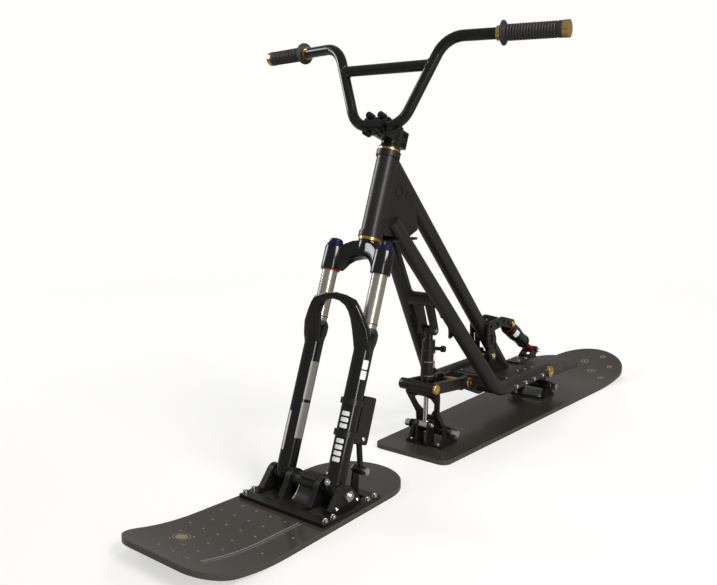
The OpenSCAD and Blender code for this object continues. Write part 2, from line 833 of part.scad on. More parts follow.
// Cockpit
stem_from = head_len + 2 * ring_h + 10;
stem_h = 40;
clamp_w = stem_from + 21;
module stem() {
  color("#141414") at_steering() difference() {
    union() {
      translate([0, 0, head_len + 2 * ring_h]) cylinder(h = 10, r = 18);
      translate([0, 0, stem_from]) cylinder(h = stem_h, r = 20);
      translate([0, 0, stem_from + stem_h + seat]) cylinder(h = 4, r = 16);
      translate([stem_reach / 2, 0, clamp_w]) cube([stem_reach, 34, 30], center = true);
      translate([stem_reach, 0, clamp_w]) rotate([90, 0, 0]) cylinder(h = 52, r = 19, center = true);
      translate([-24, 0, stem_from + stem_h / 2]) cube([22, 30, stem_h - 4], center = true);
    }
    translate([0, 0, 150]) cylinder(h = 120, r = steerer_r + run_gap);
    translate([-30, -1.5, stem_from - 1]) cube([30, 3, stem_h + 2]);
    translate([stem_reach, 0, clamp_w]) rotate([90, 0, 0])
      cylinder(h = 80, r = bar_r + seat, center = true);
    translate([stem_reach + 1, -40, clamp_w - 40]) cube([60, 80, 80]);
  }
}

module stem_cap() {
  color("#141414") at_steering() difference() {
    union() {
      translate([stem_reach, 0, clamp_w]) rotate([90, 0, 0]) cylinder(h = 50, r = 19, center = true);
      for (s = [-1, 1], d = [-1, 1]) translate([stem_reach + 3, s * 15, clamp_w + d * 18])
        rotate([0, 90, 0]) cylinder(h = 16, r = 7);
    }
    translate([stem_reach, 0, clamp_w]) rotate([90, 0, 0])
      cylinder(h = 80, r = bar_r + seat, center = true);
    translate([stem_reach - 60 + 3, -40, clamp_w - 40]) cube([60, 80, 80]);
  }
}

bar_lean = 20;
bar_low = [stem_reach, bar_low_w / 2, clamp_w];
bar_up = [stem_reach + bar_lean, bar_top_w / 2, clamp_w + bar_rise];
bar_end = [stem_reach + bar_lean - bar_back, bar_w / 2, clamp_w + bar_rise + 10];
low_bend = 52;
up_bend = 58;
function flip(p) = [p[0], -p[1], p[2]];

module handlebar() {
  color("#151514") at_steering()
    bent_tube([flip(bar_end), flip(bar_up), flip(bar_low), bar_low, bar_up, bar_end],
      [up_bend, low_bend, low_bend, up_bend], bar_r, [1, 0, 0]);
}

cross_frac = 0.69;
crossbar_at = bar_low + (bar_up - bar_low) * cross_frac;
module crossbar() {
  color("#151514") at_steering() difference() {
    rod(flip(crossbar_at), crossbar_at, bar_r);
    both() rod(bar_low, bar_up, bar_r + seat);
  }
}

grip_dir = unit(bar_end - bar_up);
module grip() {
  at_steering() difference() {
    union() {
      rod(bar_end - grip_dir * grip_len, bar_end - grip_dir * 8, grip_r);
      rod(bar_end - grip_dir * grip_len, bar_end - grip_dir * (grip_len - 4), 23.5);
    }
    rod(bar_end - grip_dir * (grip_len + 20), bar_end + grip_dir * 20, bar_r + run_gap);
  }
}
module grip_left() { color("#171615") grip(); }
module grip_right() { color("#171615") mirror([0, 1, 0]) grip(); }

module bar_ends() {
  color("#c9a227") at_steering() both() {
    difference() {
      union() {
        rod(bar_end - grip_dir * 8, bar_end + grip_dir * 3, grip_r + 0.5);
        rod(bar_end - grip_dir * (grip_len + 10), bar_end - grip_dir * grip_len, 14);
      }
      rod(bar_end - grip_dir * (grip_len + 20), bar_end + grip_dir * run_gap, bar_r + run_gap);
    }
  }
}

// Front board mount
axle_pt = steer_pt(fork_offset, 0, -fork_len);
ear_t = 14;
axle_half = half_leg + leg_r + ear_t + 1;
module front_axle() {
  color("#c8c8c6") at_head() {
    pin(axle_pt[0], axle_pt[2], axle_half, axle_r);
    both() translate([axle_pt[0], axle_half, axle_pt[2]]) rotate([-90, 0, 0])
      cylinder(h = 8, r = 11, $fn = 6);
  }
}

base_front = 276;
base_rear = 106;
base_half_w = 112;
base_t = 8;
base_top = board_t + base_t;
rim = 24;
hub_top = 64;
hub_hollow_r = 62;

// Ring frame on the board with the hub that turns on the axle between the legs
module board_base() {
  color("#141413") at_head() difference() {
    union() {
      difference() {
        translate([base_rear, -base_half_w, board_t])
          cube([base_front - base_rear, 2 * base_half_w, base_t]);
        for (s = [-1, 1]) translate([base_rear + rim, s * (base_half_w + 14) / 2 - (base_half_w - 58) / 2,
          0])
          cube([base_front - base_rear - 2 * rim, base_half_w - 58, 40]);
      }
      side_plate(2 * (half_leg - leg_r - clear)) difference() {
        polygon([[axle_pt[0] - 42, base_top - 1], [axle_pt[0] + 40, base_top - 1],
          [axle_pt[0] + 22, hub_top],
                 [axle_pt[0] - 22, hub_top]]);
        translate([axle_pt[0] + 22 + hub_hollow_r - 4, hub_top - 12]) circle(r = hub_hollow_r - 16);
      }
      both() translate([0, half_leg - 12, 0]) side_plate(5) difference() {
        hull() {
          translate([level_eye[0], level_eye[2]]) circle(r = 9, $fn = 32);
          translate([level_eye[0] - 4, base_top - 1]) square([20, 2]);
        }
      }
    }
    pin(axle_pt[0], axle_pt[2], half_leg + 60, axle_r + run_gap);
    pin(level_eye[0], level_eye[2], half_leg + 60, 4 + run_gap);
    translate([level_eye[0] - 30, -base_half_w, base_top]) cube([60, base_half_w + half_leg - 20, 90]);
  }
}

// Ears outside the legs, as rounded castings that carry the axle's ends
ear_y = half_leg + leg_r + clear;
ear_r = 19;
ear_foot = 42;
module axle_brackets() {
  color("#141413") at_head() difference() {
    both() translate([0, ear_y + ear_t / 2, 0]) side_plate(ear_t) hull() {
      translate([axle_pt[0], axle_pt[2]]) circle(r = ear_r, $fn = 48);
      translate([axle_pt[0] - ear_foot, base_top + seat]) square([2 * ear_foot, 5]);
    }
    pin(axle_pt[0], axle_pt[2], half_leg + 60, axle_r + run_gap);
  }
}

base_bolt_in = 5.5;
module base_bolts() {
  color("#cfd0cf") at_head() for (x = [base_rear + 12, base_rear + 34, base_front - 34, base_front - 12],
    s = [-1, 1])
    translate([x, s * (base_half_w - base_bolt_in), base_top]) cylinder(h = 4, r = 5);
}

// Levelling damper behind the left leg: its housing hangs from two bands on the leg
band_r = leg_r + 4;
band_h = 12;
band_drops = [-334, -396];
case_top = -312;
case_len = 96;
case_back = 40;
case_w = 20;
case_gap = 3;
level_eye = [112, 0, 62];
module level_bracket() {
  color("#141413") at_steering() translate([fork_offset, half_leg, 0]) difference() {
    for (w = band_drops) translate([0, 0, w]) {
      cylinder(h = band_h, r = band_r);
      translate([-leg_r - case_gap + seat, -7, 0]) cube([8, 14, band_h]);
    }
    translate([0, 0, -500]) cylinder(h = 400, r = leg_r + seat);
  }
}

module level_damper() {
  case_u = fork_offset - leg_r - case_gap - case_back;
  foot = [level_eye[0] * cos(rake) + (level_eye[2] - head_z) * sin(rake),
    level_eye[2] * cos(rake) - head_z * cos(rake) - level_eye[0] * sin(rake)];
  color("#171717") at_steering() difference() {
    union() {
      translate([case_u, half_leg - case_w / 2, case_top - case_len]) rotate([90, 0, 90])
        translate([0, 0, 0])
        linear_extrude(case_back) hull() for (y = [5, case_w - 5], z = [5, case_len - 5]) translate([y, z])
          circle(r = 5, $fn = 32);
      rod([case_u + 14, half_leg, case_top - case_len + 4], [foot[0], half_leg, foot[1]], 6);
      translate([foot[0], half_leg, foot[1]]) rotate([90, 0, 0]) cylinder(h = 18, r = 9, center = true);
    }
    translate([foot[0], half_leg, foot[1]]) rotate([90, 0, 0])
      cylinder(h = 80, r = 4 + run_gap, center = true);
    translate([fork_offset, half_leg, -500]) cylinder(h = 400, r = band_r + seat);
  }
}

module level_bolt() {
  color("#cfd0cf") at_head() translate([level_eye[0], half_leg, level_eye[2]]) rotate([90, 0, 0]) {
    cylinder(h = 34, r = 4, center = true);
    for (s = [-1, 1]) translate([0, 0, s * 17]) cylinder(h = 4, r = 7, center = true);
  }
}

head_tube();
head_rings();
gusset();
top_tube();
side_tube_left();
side_tube_right();
cross_tube();
link_bracket();
foot_plate();
tail_plate();
deck_bolts();
rail_caps();
front_shock_body();
front_shock_shaft();
shock_bolts();
link_arms();
link_axles();
front_upright();
front_truck_base();
front_truck_axle();
rocker_plates();
rocker_axles();
rocker_foot();
rear_shock_body();
rear_shock_shaft();
shock_clevis();
rear_arm();
rear_upright();
rear_truck_base();
rear_truck_axle();
rear_board();
fork_crown();
stanchion_left();
stanchion_right();
crown_caps();
fork_lowers();
stem();
stem_cap();
handlebar();
crossbar();
grip_left();
grip_right();
bar_ends();
front_axle();
level_bracket();
level_damper();
level_bolt();
board_base();
axle_brackets();
base_bolts();
front_board();
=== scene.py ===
"""Looks of the snowscoot: finishes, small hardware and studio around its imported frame.

Lengths are millimetres in the object's own frame, and MM turns them into Blender's metres. The
steering frame has its Z along the steering axis and its X ahead of it, with its origin at the
lower head bearing.
"""

from __future__ import annotations

import json
import logging
import math
from dataclasses import dataclass, field
from enum import Enum
from typing import Callable, Iterable, NamedTuple, Sequence

import bmesh
import bpy
from mathutils import Matrix, Vector
from mathutils.bvhtree import BVHTree

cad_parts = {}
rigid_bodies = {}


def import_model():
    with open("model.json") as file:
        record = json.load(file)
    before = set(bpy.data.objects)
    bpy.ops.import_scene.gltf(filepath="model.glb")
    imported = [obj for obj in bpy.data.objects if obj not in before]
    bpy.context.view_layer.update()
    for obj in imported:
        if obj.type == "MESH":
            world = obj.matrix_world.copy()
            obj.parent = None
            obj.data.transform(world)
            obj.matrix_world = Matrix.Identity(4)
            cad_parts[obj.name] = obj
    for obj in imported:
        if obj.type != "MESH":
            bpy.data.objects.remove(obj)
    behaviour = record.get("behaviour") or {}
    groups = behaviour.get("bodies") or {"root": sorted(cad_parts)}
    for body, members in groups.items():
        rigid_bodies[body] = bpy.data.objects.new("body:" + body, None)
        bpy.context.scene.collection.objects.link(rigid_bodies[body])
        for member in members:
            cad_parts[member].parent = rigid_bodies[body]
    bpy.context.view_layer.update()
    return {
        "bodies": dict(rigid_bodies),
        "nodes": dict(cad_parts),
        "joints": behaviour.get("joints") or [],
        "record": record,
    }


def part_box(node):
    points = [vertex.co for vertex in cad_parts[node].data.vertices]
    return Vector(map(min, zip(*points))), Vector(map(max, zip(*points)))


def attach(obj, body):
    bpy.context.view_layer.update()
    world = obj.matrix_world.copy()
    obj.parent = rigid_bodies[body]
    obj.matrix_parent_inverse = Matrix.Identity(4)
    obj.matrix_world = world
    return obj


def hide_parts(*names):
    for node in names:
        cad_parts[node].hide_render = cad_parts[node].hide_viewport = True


LOG = logging.getLogger("snowscoot")
MM = 0.001
FRAME_BODY = "frame"
STEER_BODY = "steering"
# How far a print stands off the round surface that it lies on
PRINT_LIFT = 0.12
Point = Sequence[float]
Socket = bpy.types.NodeSocket
NodeTree = bpy.types.NodeTree
Object = bpy.types.Object


class Shading(Enum):
    """How a drafted mesh takes light across its edges."""

    SMOOTH = math.radians(38)
    CRISP = math.radians(18)


# Frames and places


def along(origin: Vector, axis: Vector, side: Vector | None = None) -> Matrix:
    """Builds a frame whose Z runs along an axis.

    Args:
        origin: Where the frame sits, in millimetres.
        axis: Direction of its Z.
        side: Rough direction of its X, or None for any.

    Returns:
        The frame's matrix, in millimetres.
    """
    z = axis.normalized()
    rough = side if side is not None else (Vector((0, 0, 1)) if abs(z.z) < 0.9 else Vector((1, 0, 0)))
    x = (rough - z * rough.dot(z)).normalized()
    y = z.cross(x)
    turned = Matrix((x, y, z)).transposed().to_4x4()
    return Matrix.Translation(origin) @ turned


def polar(radius: float, turn: float, height: float = 0.0) -> Vector:
    """A point at a radius and an angle in radians round Z."""
    return Vector((radius * math.cos(turn), radius * math.sin(turn), height))


@dataclass
class Layout:
    """The two working frames of the object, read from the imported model."""

    rake: float
    head: Vector

    @classmethod
    def read(cls, joints: list[dict]) -> "Layout":
        """Reads the steering joint's place and axis.

        Args:
            joints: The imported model's joints.

        Returns:
            The layout that the joint gives.
        """
        steer = joints[0]
        axis = steer["axis"]
        return cls(rake=math.atan2(-axis[0], axis[2]), head=Vector(steer["pos_m"]) / MM)

    @property
    def steering(self) -> Matrix:
        """The steering frame, in millimetres."""
        return Matrix.Translation(self.head) @ Matrix.Rotation(-self.rake, 4, "Y")

    @property
    def chassis(self) -> Matrix:
        """The frame at the floor under the lower head bearing, in millimetres."""
        return Matrix.Translation(Vector((self.head.x, 0, 0)))


class Section(NamedTuple):
    """A rounded cross section: its centre and its two half extents as vectors, in millimetres."""

    centre: Point
    half_a: Point
    half_b: Point


class Fixing(NamedTuple):
    """A fastener: its foot, the way it faces, its radius and its height, in millimetres."""

    at: Point
    facing: Point
    radius: float
    height: float


def flipped(point: Point, side: float = -1) -> Vector:
    """A point on its own side of the middle plane for 1, or its mirror image for -1."""
    return Vector((point[0], point[1] * side, point[2]))


def mirrored(rows: Iterable[Fixing]) -> list[Fixing]:
    """The fasteners together with their mirror images in the middle plane."""
    kept = list(rows)
    return kept + [Fixing(flipped(r.at), flipped(r.facing), r.radius, r.height) for r in kept]


def saddle(start: Vector, axis: Vector, radius: float, across: Vector, across_axis: Vector, across_radius: float,
           steps: int = 72) -> list[Vector]:
    """Finds the curve on which one tube first meets another.

    Args:
        start: A point on the first tube's axis, clear of the second tube.
        axis: Direction of the first tube, towards the second.
        radius: The first tube's radius.
        across: A point on the second tube's axis.
        across_axis: Direction of the second tube.
        across_radius: The second tube's radius.
        steps: Number of points round the first tube.

    Returns:
        The curve's points.
    """
    place = along(start, axis)
    ahead, line = axis.normalized(), across_axis.normalized()
    flat = ahead - line * ahead.dot(line)
    points = []
    for i in range(steps):
        point = place @ polar(radius, math.tau * i / steps)
        gap = point - across
        gap -= line * gap.dot(line)
        a, b, c = flat.dot(flat), 2 * gap.dot(flat), gap.dot(gap) - across_radius**2
        root = b * b - 4 * a * c
        if root > 0:
            points.append(point + ahead * ((-b - math.sqrt(root)) / (2 * a)))
    return points


def arc(centre: Point, radius: float, turns: Point, steps: int = 24) -> list[tuple[float, float]]:
    """Points of an arc in a plane, between two angles in degrees."""
    spots = []
    for i in range(steps + 1):
        turn = math.radians(turns[0] + (turns[1] - turns[0]) * i / steps)
        spots.append((centre[0] + radius * math.cos(turn), centre[1] + radius * math.sin(turn)))
    return spots


@dataclass
class Surface:
    """The top surface of a solid, found by rays from above."""

    node: Object
    frame: Matrix
    tree: BVHTree

    @classmethod
    def of(cls, node: Object, frame: Matrix) -> "Surface":
        """Reads a solid's surface, for places given in a frame."""
        return cls(node, frame, BVHTree.FromObject(node, bpy.context.evaluated_depsgraph_get()))

    def point(self, x: float, y: float, lift: float = 0.1) -> Vector:
        """The point just above the surface at a place of the frame, in millimetres."""
        inward = self.node.matrix_world.inverted()
        start = inward @ ((self.frame @ Vector((x, y, 300))) * MM)
        hit = self.tree.ray_cast(start, inward.to_3x3() @ Vector((0, 0, -1)))[0]
        spot = (self.node.matrix_world @ hit) / MM
        return spot + Vector((0, 0, lift))


# Drafting of meshes


@dataclass
class Draft:
    """A mesh that grows from lathes, prisms and sweeps, all in millimetres."""

    name: str
    mesh: bmesh.types.BMesh = field(default_factory=bmesh.new)

    def skin(self, rings: Sequence[Sequence[Vector]], closed: bool = True, caps: bool = True) -> None:
        """Joins rings of points into one surface.

        Args:
            rings: Rings of equal length.
            closed: Whether each ring runs round to its start.
            caps: Whether the first and last ring are filled.
        """
        made = [[self.mesh.verts.new(p) for p in ring] for ring in rings]
        count = len(made[0])
        for low, high in zip(made, made[1:]):
            for i in range(count if closed else count - 1):
                j = (i + 1) % count
                self.mesh.faces.new((low[i], low[j], high[j], high[i]))
        if caps and closed:
            self.mesh.faces.new(tuple(reversed(made[0])))
            self.mesh.faces.new(tuple(made[-1]))

    def lathe(self, place: Matrix, profile: Sequence[Point], steps: int = 48, hollow: bool = False) -> None:
        """Turns a profile of (radius, height) round the Z of a frame.

        Args:
            place: The frame.
            profile: Points from one end to the other.
            steps: Number of sides.
            hollow: Whether the profile is a closed outline, as a ring's section.
        """
        spots = list(profile) + ([profile[0]] if hollow else [])
        rings = [[place @ polar(radius, math.tau * i / steps, height) for i in range(steps)]
                 for radius, height in spots]
        self.skin(rings, caps=not hollow)

    def both_ends(self, frame: Matrix, at: Point, profile: Sequence[Point], steps: int = 48, hollow: bool = False,
                  sides: Sequence[int] = (-1, 1)) -> None:
        """Turns a profile that faces outwards across the object, on one or both sides of a frame."""
        for side in sides:
            self.lathe(frame @ along(flipped(at, side), Vector((0, side, 0))), profile, steps, hollow)

    def prism(self, place: Matrix, outline: Sequence[Point], depth: float) -> None:
        """Extrudes an outline of (x, y) from the XY plane of a frame by a depth along its Z."""
        rings = [[place @ Vector((x, y, z)) for x, y in outline] for z in (0.0, depth)]
        self.skin(rings)

    def plate(self, place: Matrix, outline: Sequence[Point], holes: Sequence[Sequence[Point]], depth: float) -> None:
        """Extrudes an outline with holes from the XY plane of a frame by a depth along its Z."""
        walls = []
        for z in (0.0, depth):
            loops = [[self.mesh.verts.new(place @ Vector((x, y, z))) for x, y in loop] for loop in (outline, *holes)]
            rims = [self.mesh.edges.new((loop[i - 1], loop[i])) for loop in loops for i in range(len(loop))]
            bmesh.ops.triangle_fill(self.mesh, edges=rims, use_beauty=True)
            walls.append(loops)
        for low, high in zip(*walls):
            for i in range(len(low)):
                self.mesh.faces.new((low[i - 1], low[i], high[i], high[i - 1]))

    def slab(self, frame: Matrix, low: Point, high: Point) -> None:
        """Adds a box between two corners of a frame."""
        outline = [(low[0], low[1]), (high[0], low[1]), (high[0], high[1]), (low[0], high[1])]
        self.prism(frame @ Matrix.Translation((0, 0, low[2])), outline, high[2] - low[2])

    def torus(self, place: Matrix, radius: float, thick: float, steps: int = 48, sides: int = 10) -> None:
        """Adds a round bead of a given thickness round the Z of a frame."""
        spots = (polar(thick, math.tau * k / sides) for k in range(sides))
        section = [(radius + p.x, p.y) for p in spots]
        self.lathe(place, section, steps, hollow=True)

    def socket_screw(self, place: Matrix, radius: float, height: float) -> None:
        """Adds a round screw head with a sunk socket, standing on the frame's XY plane."""
        self.lathe(place, [(radius, 0), (radius, height * 0.8), (radius * 0.88, height), (radius * 0.5, height),
                           (radius * 0.46, height * 0.45)], 24)

    def hex_nut(self, place: Matrix, radius: float, height: float) -> None:
        """Adds a hexagonal nut with chamfered corners, standing on the frame's XY plane."""
        self.lathe(place,
                   [(radius * 0.9, 0), (radius, height * 0.12), (radius, height * 0.88), (radius * 0.9, height)], 6)

    def knob(self, place: Matrix, radius: float, height: float, teeth: int = 20, depth: float = 0.08) -> None:
        """Adds a knurled knob that stands on the frame's XY plane."""
        outline = []
        for i in range(2 * teeth):
            outline.append(polar(radius * (1 - depth * (i % 2)), math.pi * i / teeth).to_2d())
        self.prism(place, outline, height * 0.8)
        self.lathe(place, [(radius * 0.9, height * 0.8), (radius * 0.8, height), (radius * 0.3, height)], 32)

    def fixings(self, frame: Matrix, rows: Iterable[Fixing], hexagonal: bool = False) -> None:
        """Adds screws or nuts that stand in a frame."""
        for row in rows:
            place = frame @ along(Vector(row.at), Vector(row.facing))
            (self.hex_nut if hexagonal else self.socket_screw)(place, row.radius, row.height)

    def bead(self, path: Sequence[Vector], thick: float, side: Vector, closed: bool = True,
             ripple: float = 0.14) -> None:
        """Sweeps a rippled weld bead along a path.

        Args:
            path: The path's points.
            thick: Mean radius of the bead.
            side: A direction that the path never runs along.
            closed: Whether the path runs round to its start.
            ripple: Share of the radius that the ripples take.
        """
        count = len(path)
        rings = []
        for i, point in enumerate(path):
            before = path[i - 1] if closed or i else point
            after = path[(i + 1) % count] if closed or i < count - 1 else point
            place = along(point, after - before, side)
            reach = thick * (1 + ripple * math.sin(math.tau * i / 3))
            rings.append([place @ polar(reach, math.tau * k / 8) for k in range(8)])
        if closed:
            rings.append(rings[0])
        self.skin(rings, caps=not closed)

    def wrap(self, place: Matrix, radius: float, turns: Point, heights: Point, corner: float, steps: int = 40) -> None:
        """Lays a patch with rounded corners on a cylinder round the Z of a frame.

        Args:
            place: The frame.
            radius: The cylinder's radius.
            turns: First and last angle in degrees.
            heights: Lower and upper edge.
            corner: Radius of the corners.
            steps: Number of columns.
        """
        span = math.radians(turns[1] - turns[0]) * radius
        rings = []
        for i in range(steps + 1):
            run = span * i / steps
            short = max(0.0, corner - min(run, span - run))
            cut = corner - math.sqrt(max(0.0, corner**2 - short**2))
            turn = math.radians(turns[0]) + run / radius
            rings.append([place @ polar(radius, turn, z) for z in (heights[0] + cut, heights[1] - cut)])
        self.skin(rings, closed=False, caps=False)

    def ribbon(self, surface: Surface, span: Point, band: Point, steps: int = 48) -> None:
        """Lays a stripe on a surface between two distances ahead and two distances across."""
        places = [span[0] + (span[1] - span[0]) * i / steps for i in range(steps + 1)]
        self.skin([[surface.point(x, y) for y in band] for x in places], closed=False, caps=False)

    def ring(self, surface: Surface, centre: Point, radii: Point, steps: int = 32) -> None:
        """Lays a flat ring on a surface, given its centre and its inner and outer radius."""
        turns = [math.tau * i / steps for i in range(steps)]
        self.skin([[surface.point(centre[0] + r * math.cos(t), centre[1] + r * math.sin(t)) for t in turns]
                   for r in radii], caps=False)

    def loft(self, frame: Matrix, sections: Sequence["Section"], steps: int = 28, square: float = 3.4) -> None:
        """Skins a run of rounded sections that stand in a frame."""
        rings = []
        for row in sections:
            ring = []
            for i in range(steps):
                turn = math.tau * i / steps
                a, b = (math.copysign(abs(f(turn)) ** (2 / square), f(turn)) for f in (math.cos, math.sin))
                ring.append(frame @ (Vector(row.centre) + Vector(row.half_a) * a + Vector(row.half_b) * b))
            rings.append(ring)
        self.skin(rings)

    def clean(self) -> None:
        """Merges doubled points and turns every face outwards."""
        bmesh.ops.remove_doubles(self.mesh, verts=self.mesh.verts, dist=0.001)
        bmesh.ops.recalc_face_normals(self.mesh, faces=self.mesh.faces)

    def place(self, body: str, finish: bpy.types.Material, slot: str, shading: Shading = Shading.SMOOTH,
              bevel: float = 0.0) -> Object:
        """Turns the draft into an object that rides on a body.

        Args:
            body: The body that carries it.
            finish: Its material.
            slot: The record's slot that the finish belongs to; not used.
            shading: How its edges take light.
            bevel: Width of a rounded edge in millimetres, or 0 for none.

        Returns:
            The new object.
        """
        self.clean()
        bmesh.ops.scale(self.mesh, vec=Vector((MM, MM, MM)), verts=self.mesh.verts)
        data = bpy.data.meshes.new(self.name)
        self.mesh.to_mesh(data)
        self.mesh.free()
        data.shade_smooth()
        data.set_sharp_from_angle(angle=shading.value)
        data.materials.append(finish)
        piece = bpy.data.objects.new(self.name, data)
        bpy.context.scene.collection.objects.link(piece)
        if bevel:
            round_edges(piece, bevel)
        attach(piece, body)
        LOG.info("%s rides on %s", self.name, body)
        return piece


def round_edges(piece: Object, width: float, segments: int = 2) -> None:
    """Rounds an object's sharp edges by a width in millimetres."""
    bevel = piece.modifiers.new("rounded edges", "BEVEL")
    bevel.width = width * MM
    bevel.segments = segments
    bevel.limit_method = "ANGLE"
    bevel.angle_limit = math.radians(40)
    bevel.harden_normals = True
    bevel.use_clamp_overlap = True


# Shader groups


@dataclass
class Wiring:
    """A node tree with short calls for adding and joining nodes."""

    tree: NodeTree

    def node(self, kind: str, **settings: object) -> bpy.types.Node:
        """Adds a node of a kind and sets its properties."""
        made = self.tree.nodes.new(kind)
        for name, value in settings.items():
            setattr(made, name, value)
        return made

    def join(self, source: Socket, target: Socket) -> None:
        """Joins an output to an input."""
        self.tree.links.new(source, target)

    def feed(self, value: object, slot: Socket) -> None:
        """Gives an input a value, which is a socket or a plain one."""
        if isinstance(value, Socket):
            self.join(value, slot)
        else:
            slot.default_value = value

    def settle(self, node: bpy.types.Node, values: dict[str, object]) -> None:
        """Gives several inputs of a node their values, each a socket or a plain one."""
        for name, value in values.items():
            self.feed(value, node.inputs[name])

    def group(self, tree: NodeTree, values: dict[str, object]) -> bpy.types.Node:
        """Adds a node that runs a shared group with given inputs."""
        made = self.node("ShaderNodeGroup", node_tree=tree)
        self.settle(made, values)
        return made

    def math(self, operation: str, *values: object, clamp: bool = False) -> Socket:
        """Adds a math node whose inputs are sockets or numbers, and returns its output."""
        made = self.node("ShaderNodeMath", operation=operation, use_clamp=clamp)
        for slot, value in zip(made.inputs, values):
            self.feed(value, slot)
        return made.outputs[0]

    def ramp(self, source: Socket, low: float, high: float) -> Socket:
        """Stretches a value so that low becomes 0 and high becomes 1, clamped."""
        made = self.node("ShaderNodeMapRange", clamp=True)
        self.settle(made, {"Value": source, "From Min": low, "From Max": high})
        return made.outputs[0]

    def blend(self, mask: object, first: object, second: object) -> Socket:
        """Mixes two colours, each a socket or a tuple, by a mask."""
        made = self.node("ShaderNodeMix", data_type="RGBA")
        for slot, value in ((made.inputs[0], mask), (made.inputs[6], first), (made.inputs[7], second)):
            self.feed(value, slot)
        return made.outputs[2]

    def noise(self, place: Socket, scale: object, detail: float = 3.0) -> Socket:
        """Adds a noise texture at a place and returns its value."""
        made = self.node("ShaderNodeTexNoise")
        self.settle(made, {"Vector": place, "Detail": detail, "Scale": scale})
        return made.outputs[0]


def new_group(name: str, inputs: dict[str, float], outputs: Sequence[str]) -> tuple[Wiring, Sequence, Sequence]:
    """Starts a shader node group and returns its wiring, its inputs and its outputs."""
    wires = Wiring(bpy.data.node_groups.new(name, "ShaderNodeTree"))
    for label, value in inputs.items():
        made = wires.tree.interface.new_socket(name=label, in_out="INPUT", socket_type="NodeSocketFloat")
        made.default_value = value
    for label in outputs:
        wires.tree.interface.new_socket(name=label, in_out="OUTPUT", socket_type="NodeSocketFloat")
    return wires, wires.node("NodeGroupInput").outputs, wires.node("NodeGroupOutput").inputs


def make_edge_wear() -> NodeTree:
    """Group: a mask of rubbed outer edges, broken up by noise.

    Returns:
        The node group, with inputs Amount and Scale and the output Mask.
    """
    wires, source, target = new_group("edge wear", {"Amount": 0.5, "Scale": 60.0}, ("Mask",))
    geometry = wires.node("ShaderNodeNewGeometry")
    edges = wires.ramp(geometry.outputs["Pointiness"], 0.56, 0.68)
    breaks = wires.ramp(wires.noise(geometry.outputs["Position"], source["Scale"]), 0.42, 0.64)
    mask = wires.math("MULTIPLY", wires.math("MULTIPLY", edges, breaks), source["Amount"], clamp=True)
    wires.join(mask, target["Mask"])
    return wires.tree


def make_grain() -> NodeTree:
    """Group: fine surface grain and a slow drift of tone.

    Returns:
        The node group, with inputs Scale and Drift and the outputs Height and Tone.
    """
    wires, source, target = new_group("surface grain", {"Scale": 900.0, "Drift": 12.0}, ("Height", "Tone"))
    place = wires.node("ShaderNodeNewGeometry").outputs["Position"]
    wires.join(wires.noise(place, source["Scale"], 2.0), target["Height"])
    wires.join(wires.noise(place, source["Drift"], 4.0), target["Tone"])
    return wires.tree


def make_dust() -> NodeTree:
    """Group: a thin mask of dust that lies on faces turned upwards.

    Returns:
        The node group, with the inputs Amount and Scale and the output Mask.
    """
    wires, source, target = new_group("settled dust", {"Amount": 0.2, "Scale": 40.0}, ("Mask",))
    geometry = wires.node("ShaderNodeNewGeometry")
    parts = wires.node("ShaderNodeSeparateXYZ")
    wires.join(geometry.outputs["Normal"], parts.inputs[0])
    upward = wires.ramp(parts.outputs["Z"], 0.35, 1.0)
    patches = wires.ramp(wires.noise(geometry.outputs["Position"], source["Scale"], 5.0), 0.4, 0.75)
    mask = wires.math("MULTIPLY", wires.math("MULTIPLY", upward, patches), source["Amount"], clamp=True)
    wires.join(mask, target["Mask"])
    return wires.tree


@dataclass
class Groups:
    """The shader groups that the finishes share."""

    wear: NodeTree
    grain: NodeTree
    dust: NodeTree

    @classmethod
    def build(cls) -> "Groups":
        """Builds the three groups."""
        return cls(wear=make_edge_wear(), grain=make_grain(), dust=make_dust())


# Finishes

Colour = tuple[float, float, float]
Pattern = Callable[[Wiring, Socket], Socket]
DUST_COLOUR = (0.42, 0.4, 0.36, 1.0)
DUST_ROUGHNESS = 0.5
# How much the roughness drifts over a surface
GLOSS_DRIFT = 0.12
COAT_ROUGHNESS = 0.06
# Depth of the grain in metres
BUMP_DEPTH = 0.0005
# The pale core that shows in a board's upright edges
CORE_COLOUR = (0.055, 0.049, 0.04, 1.0)


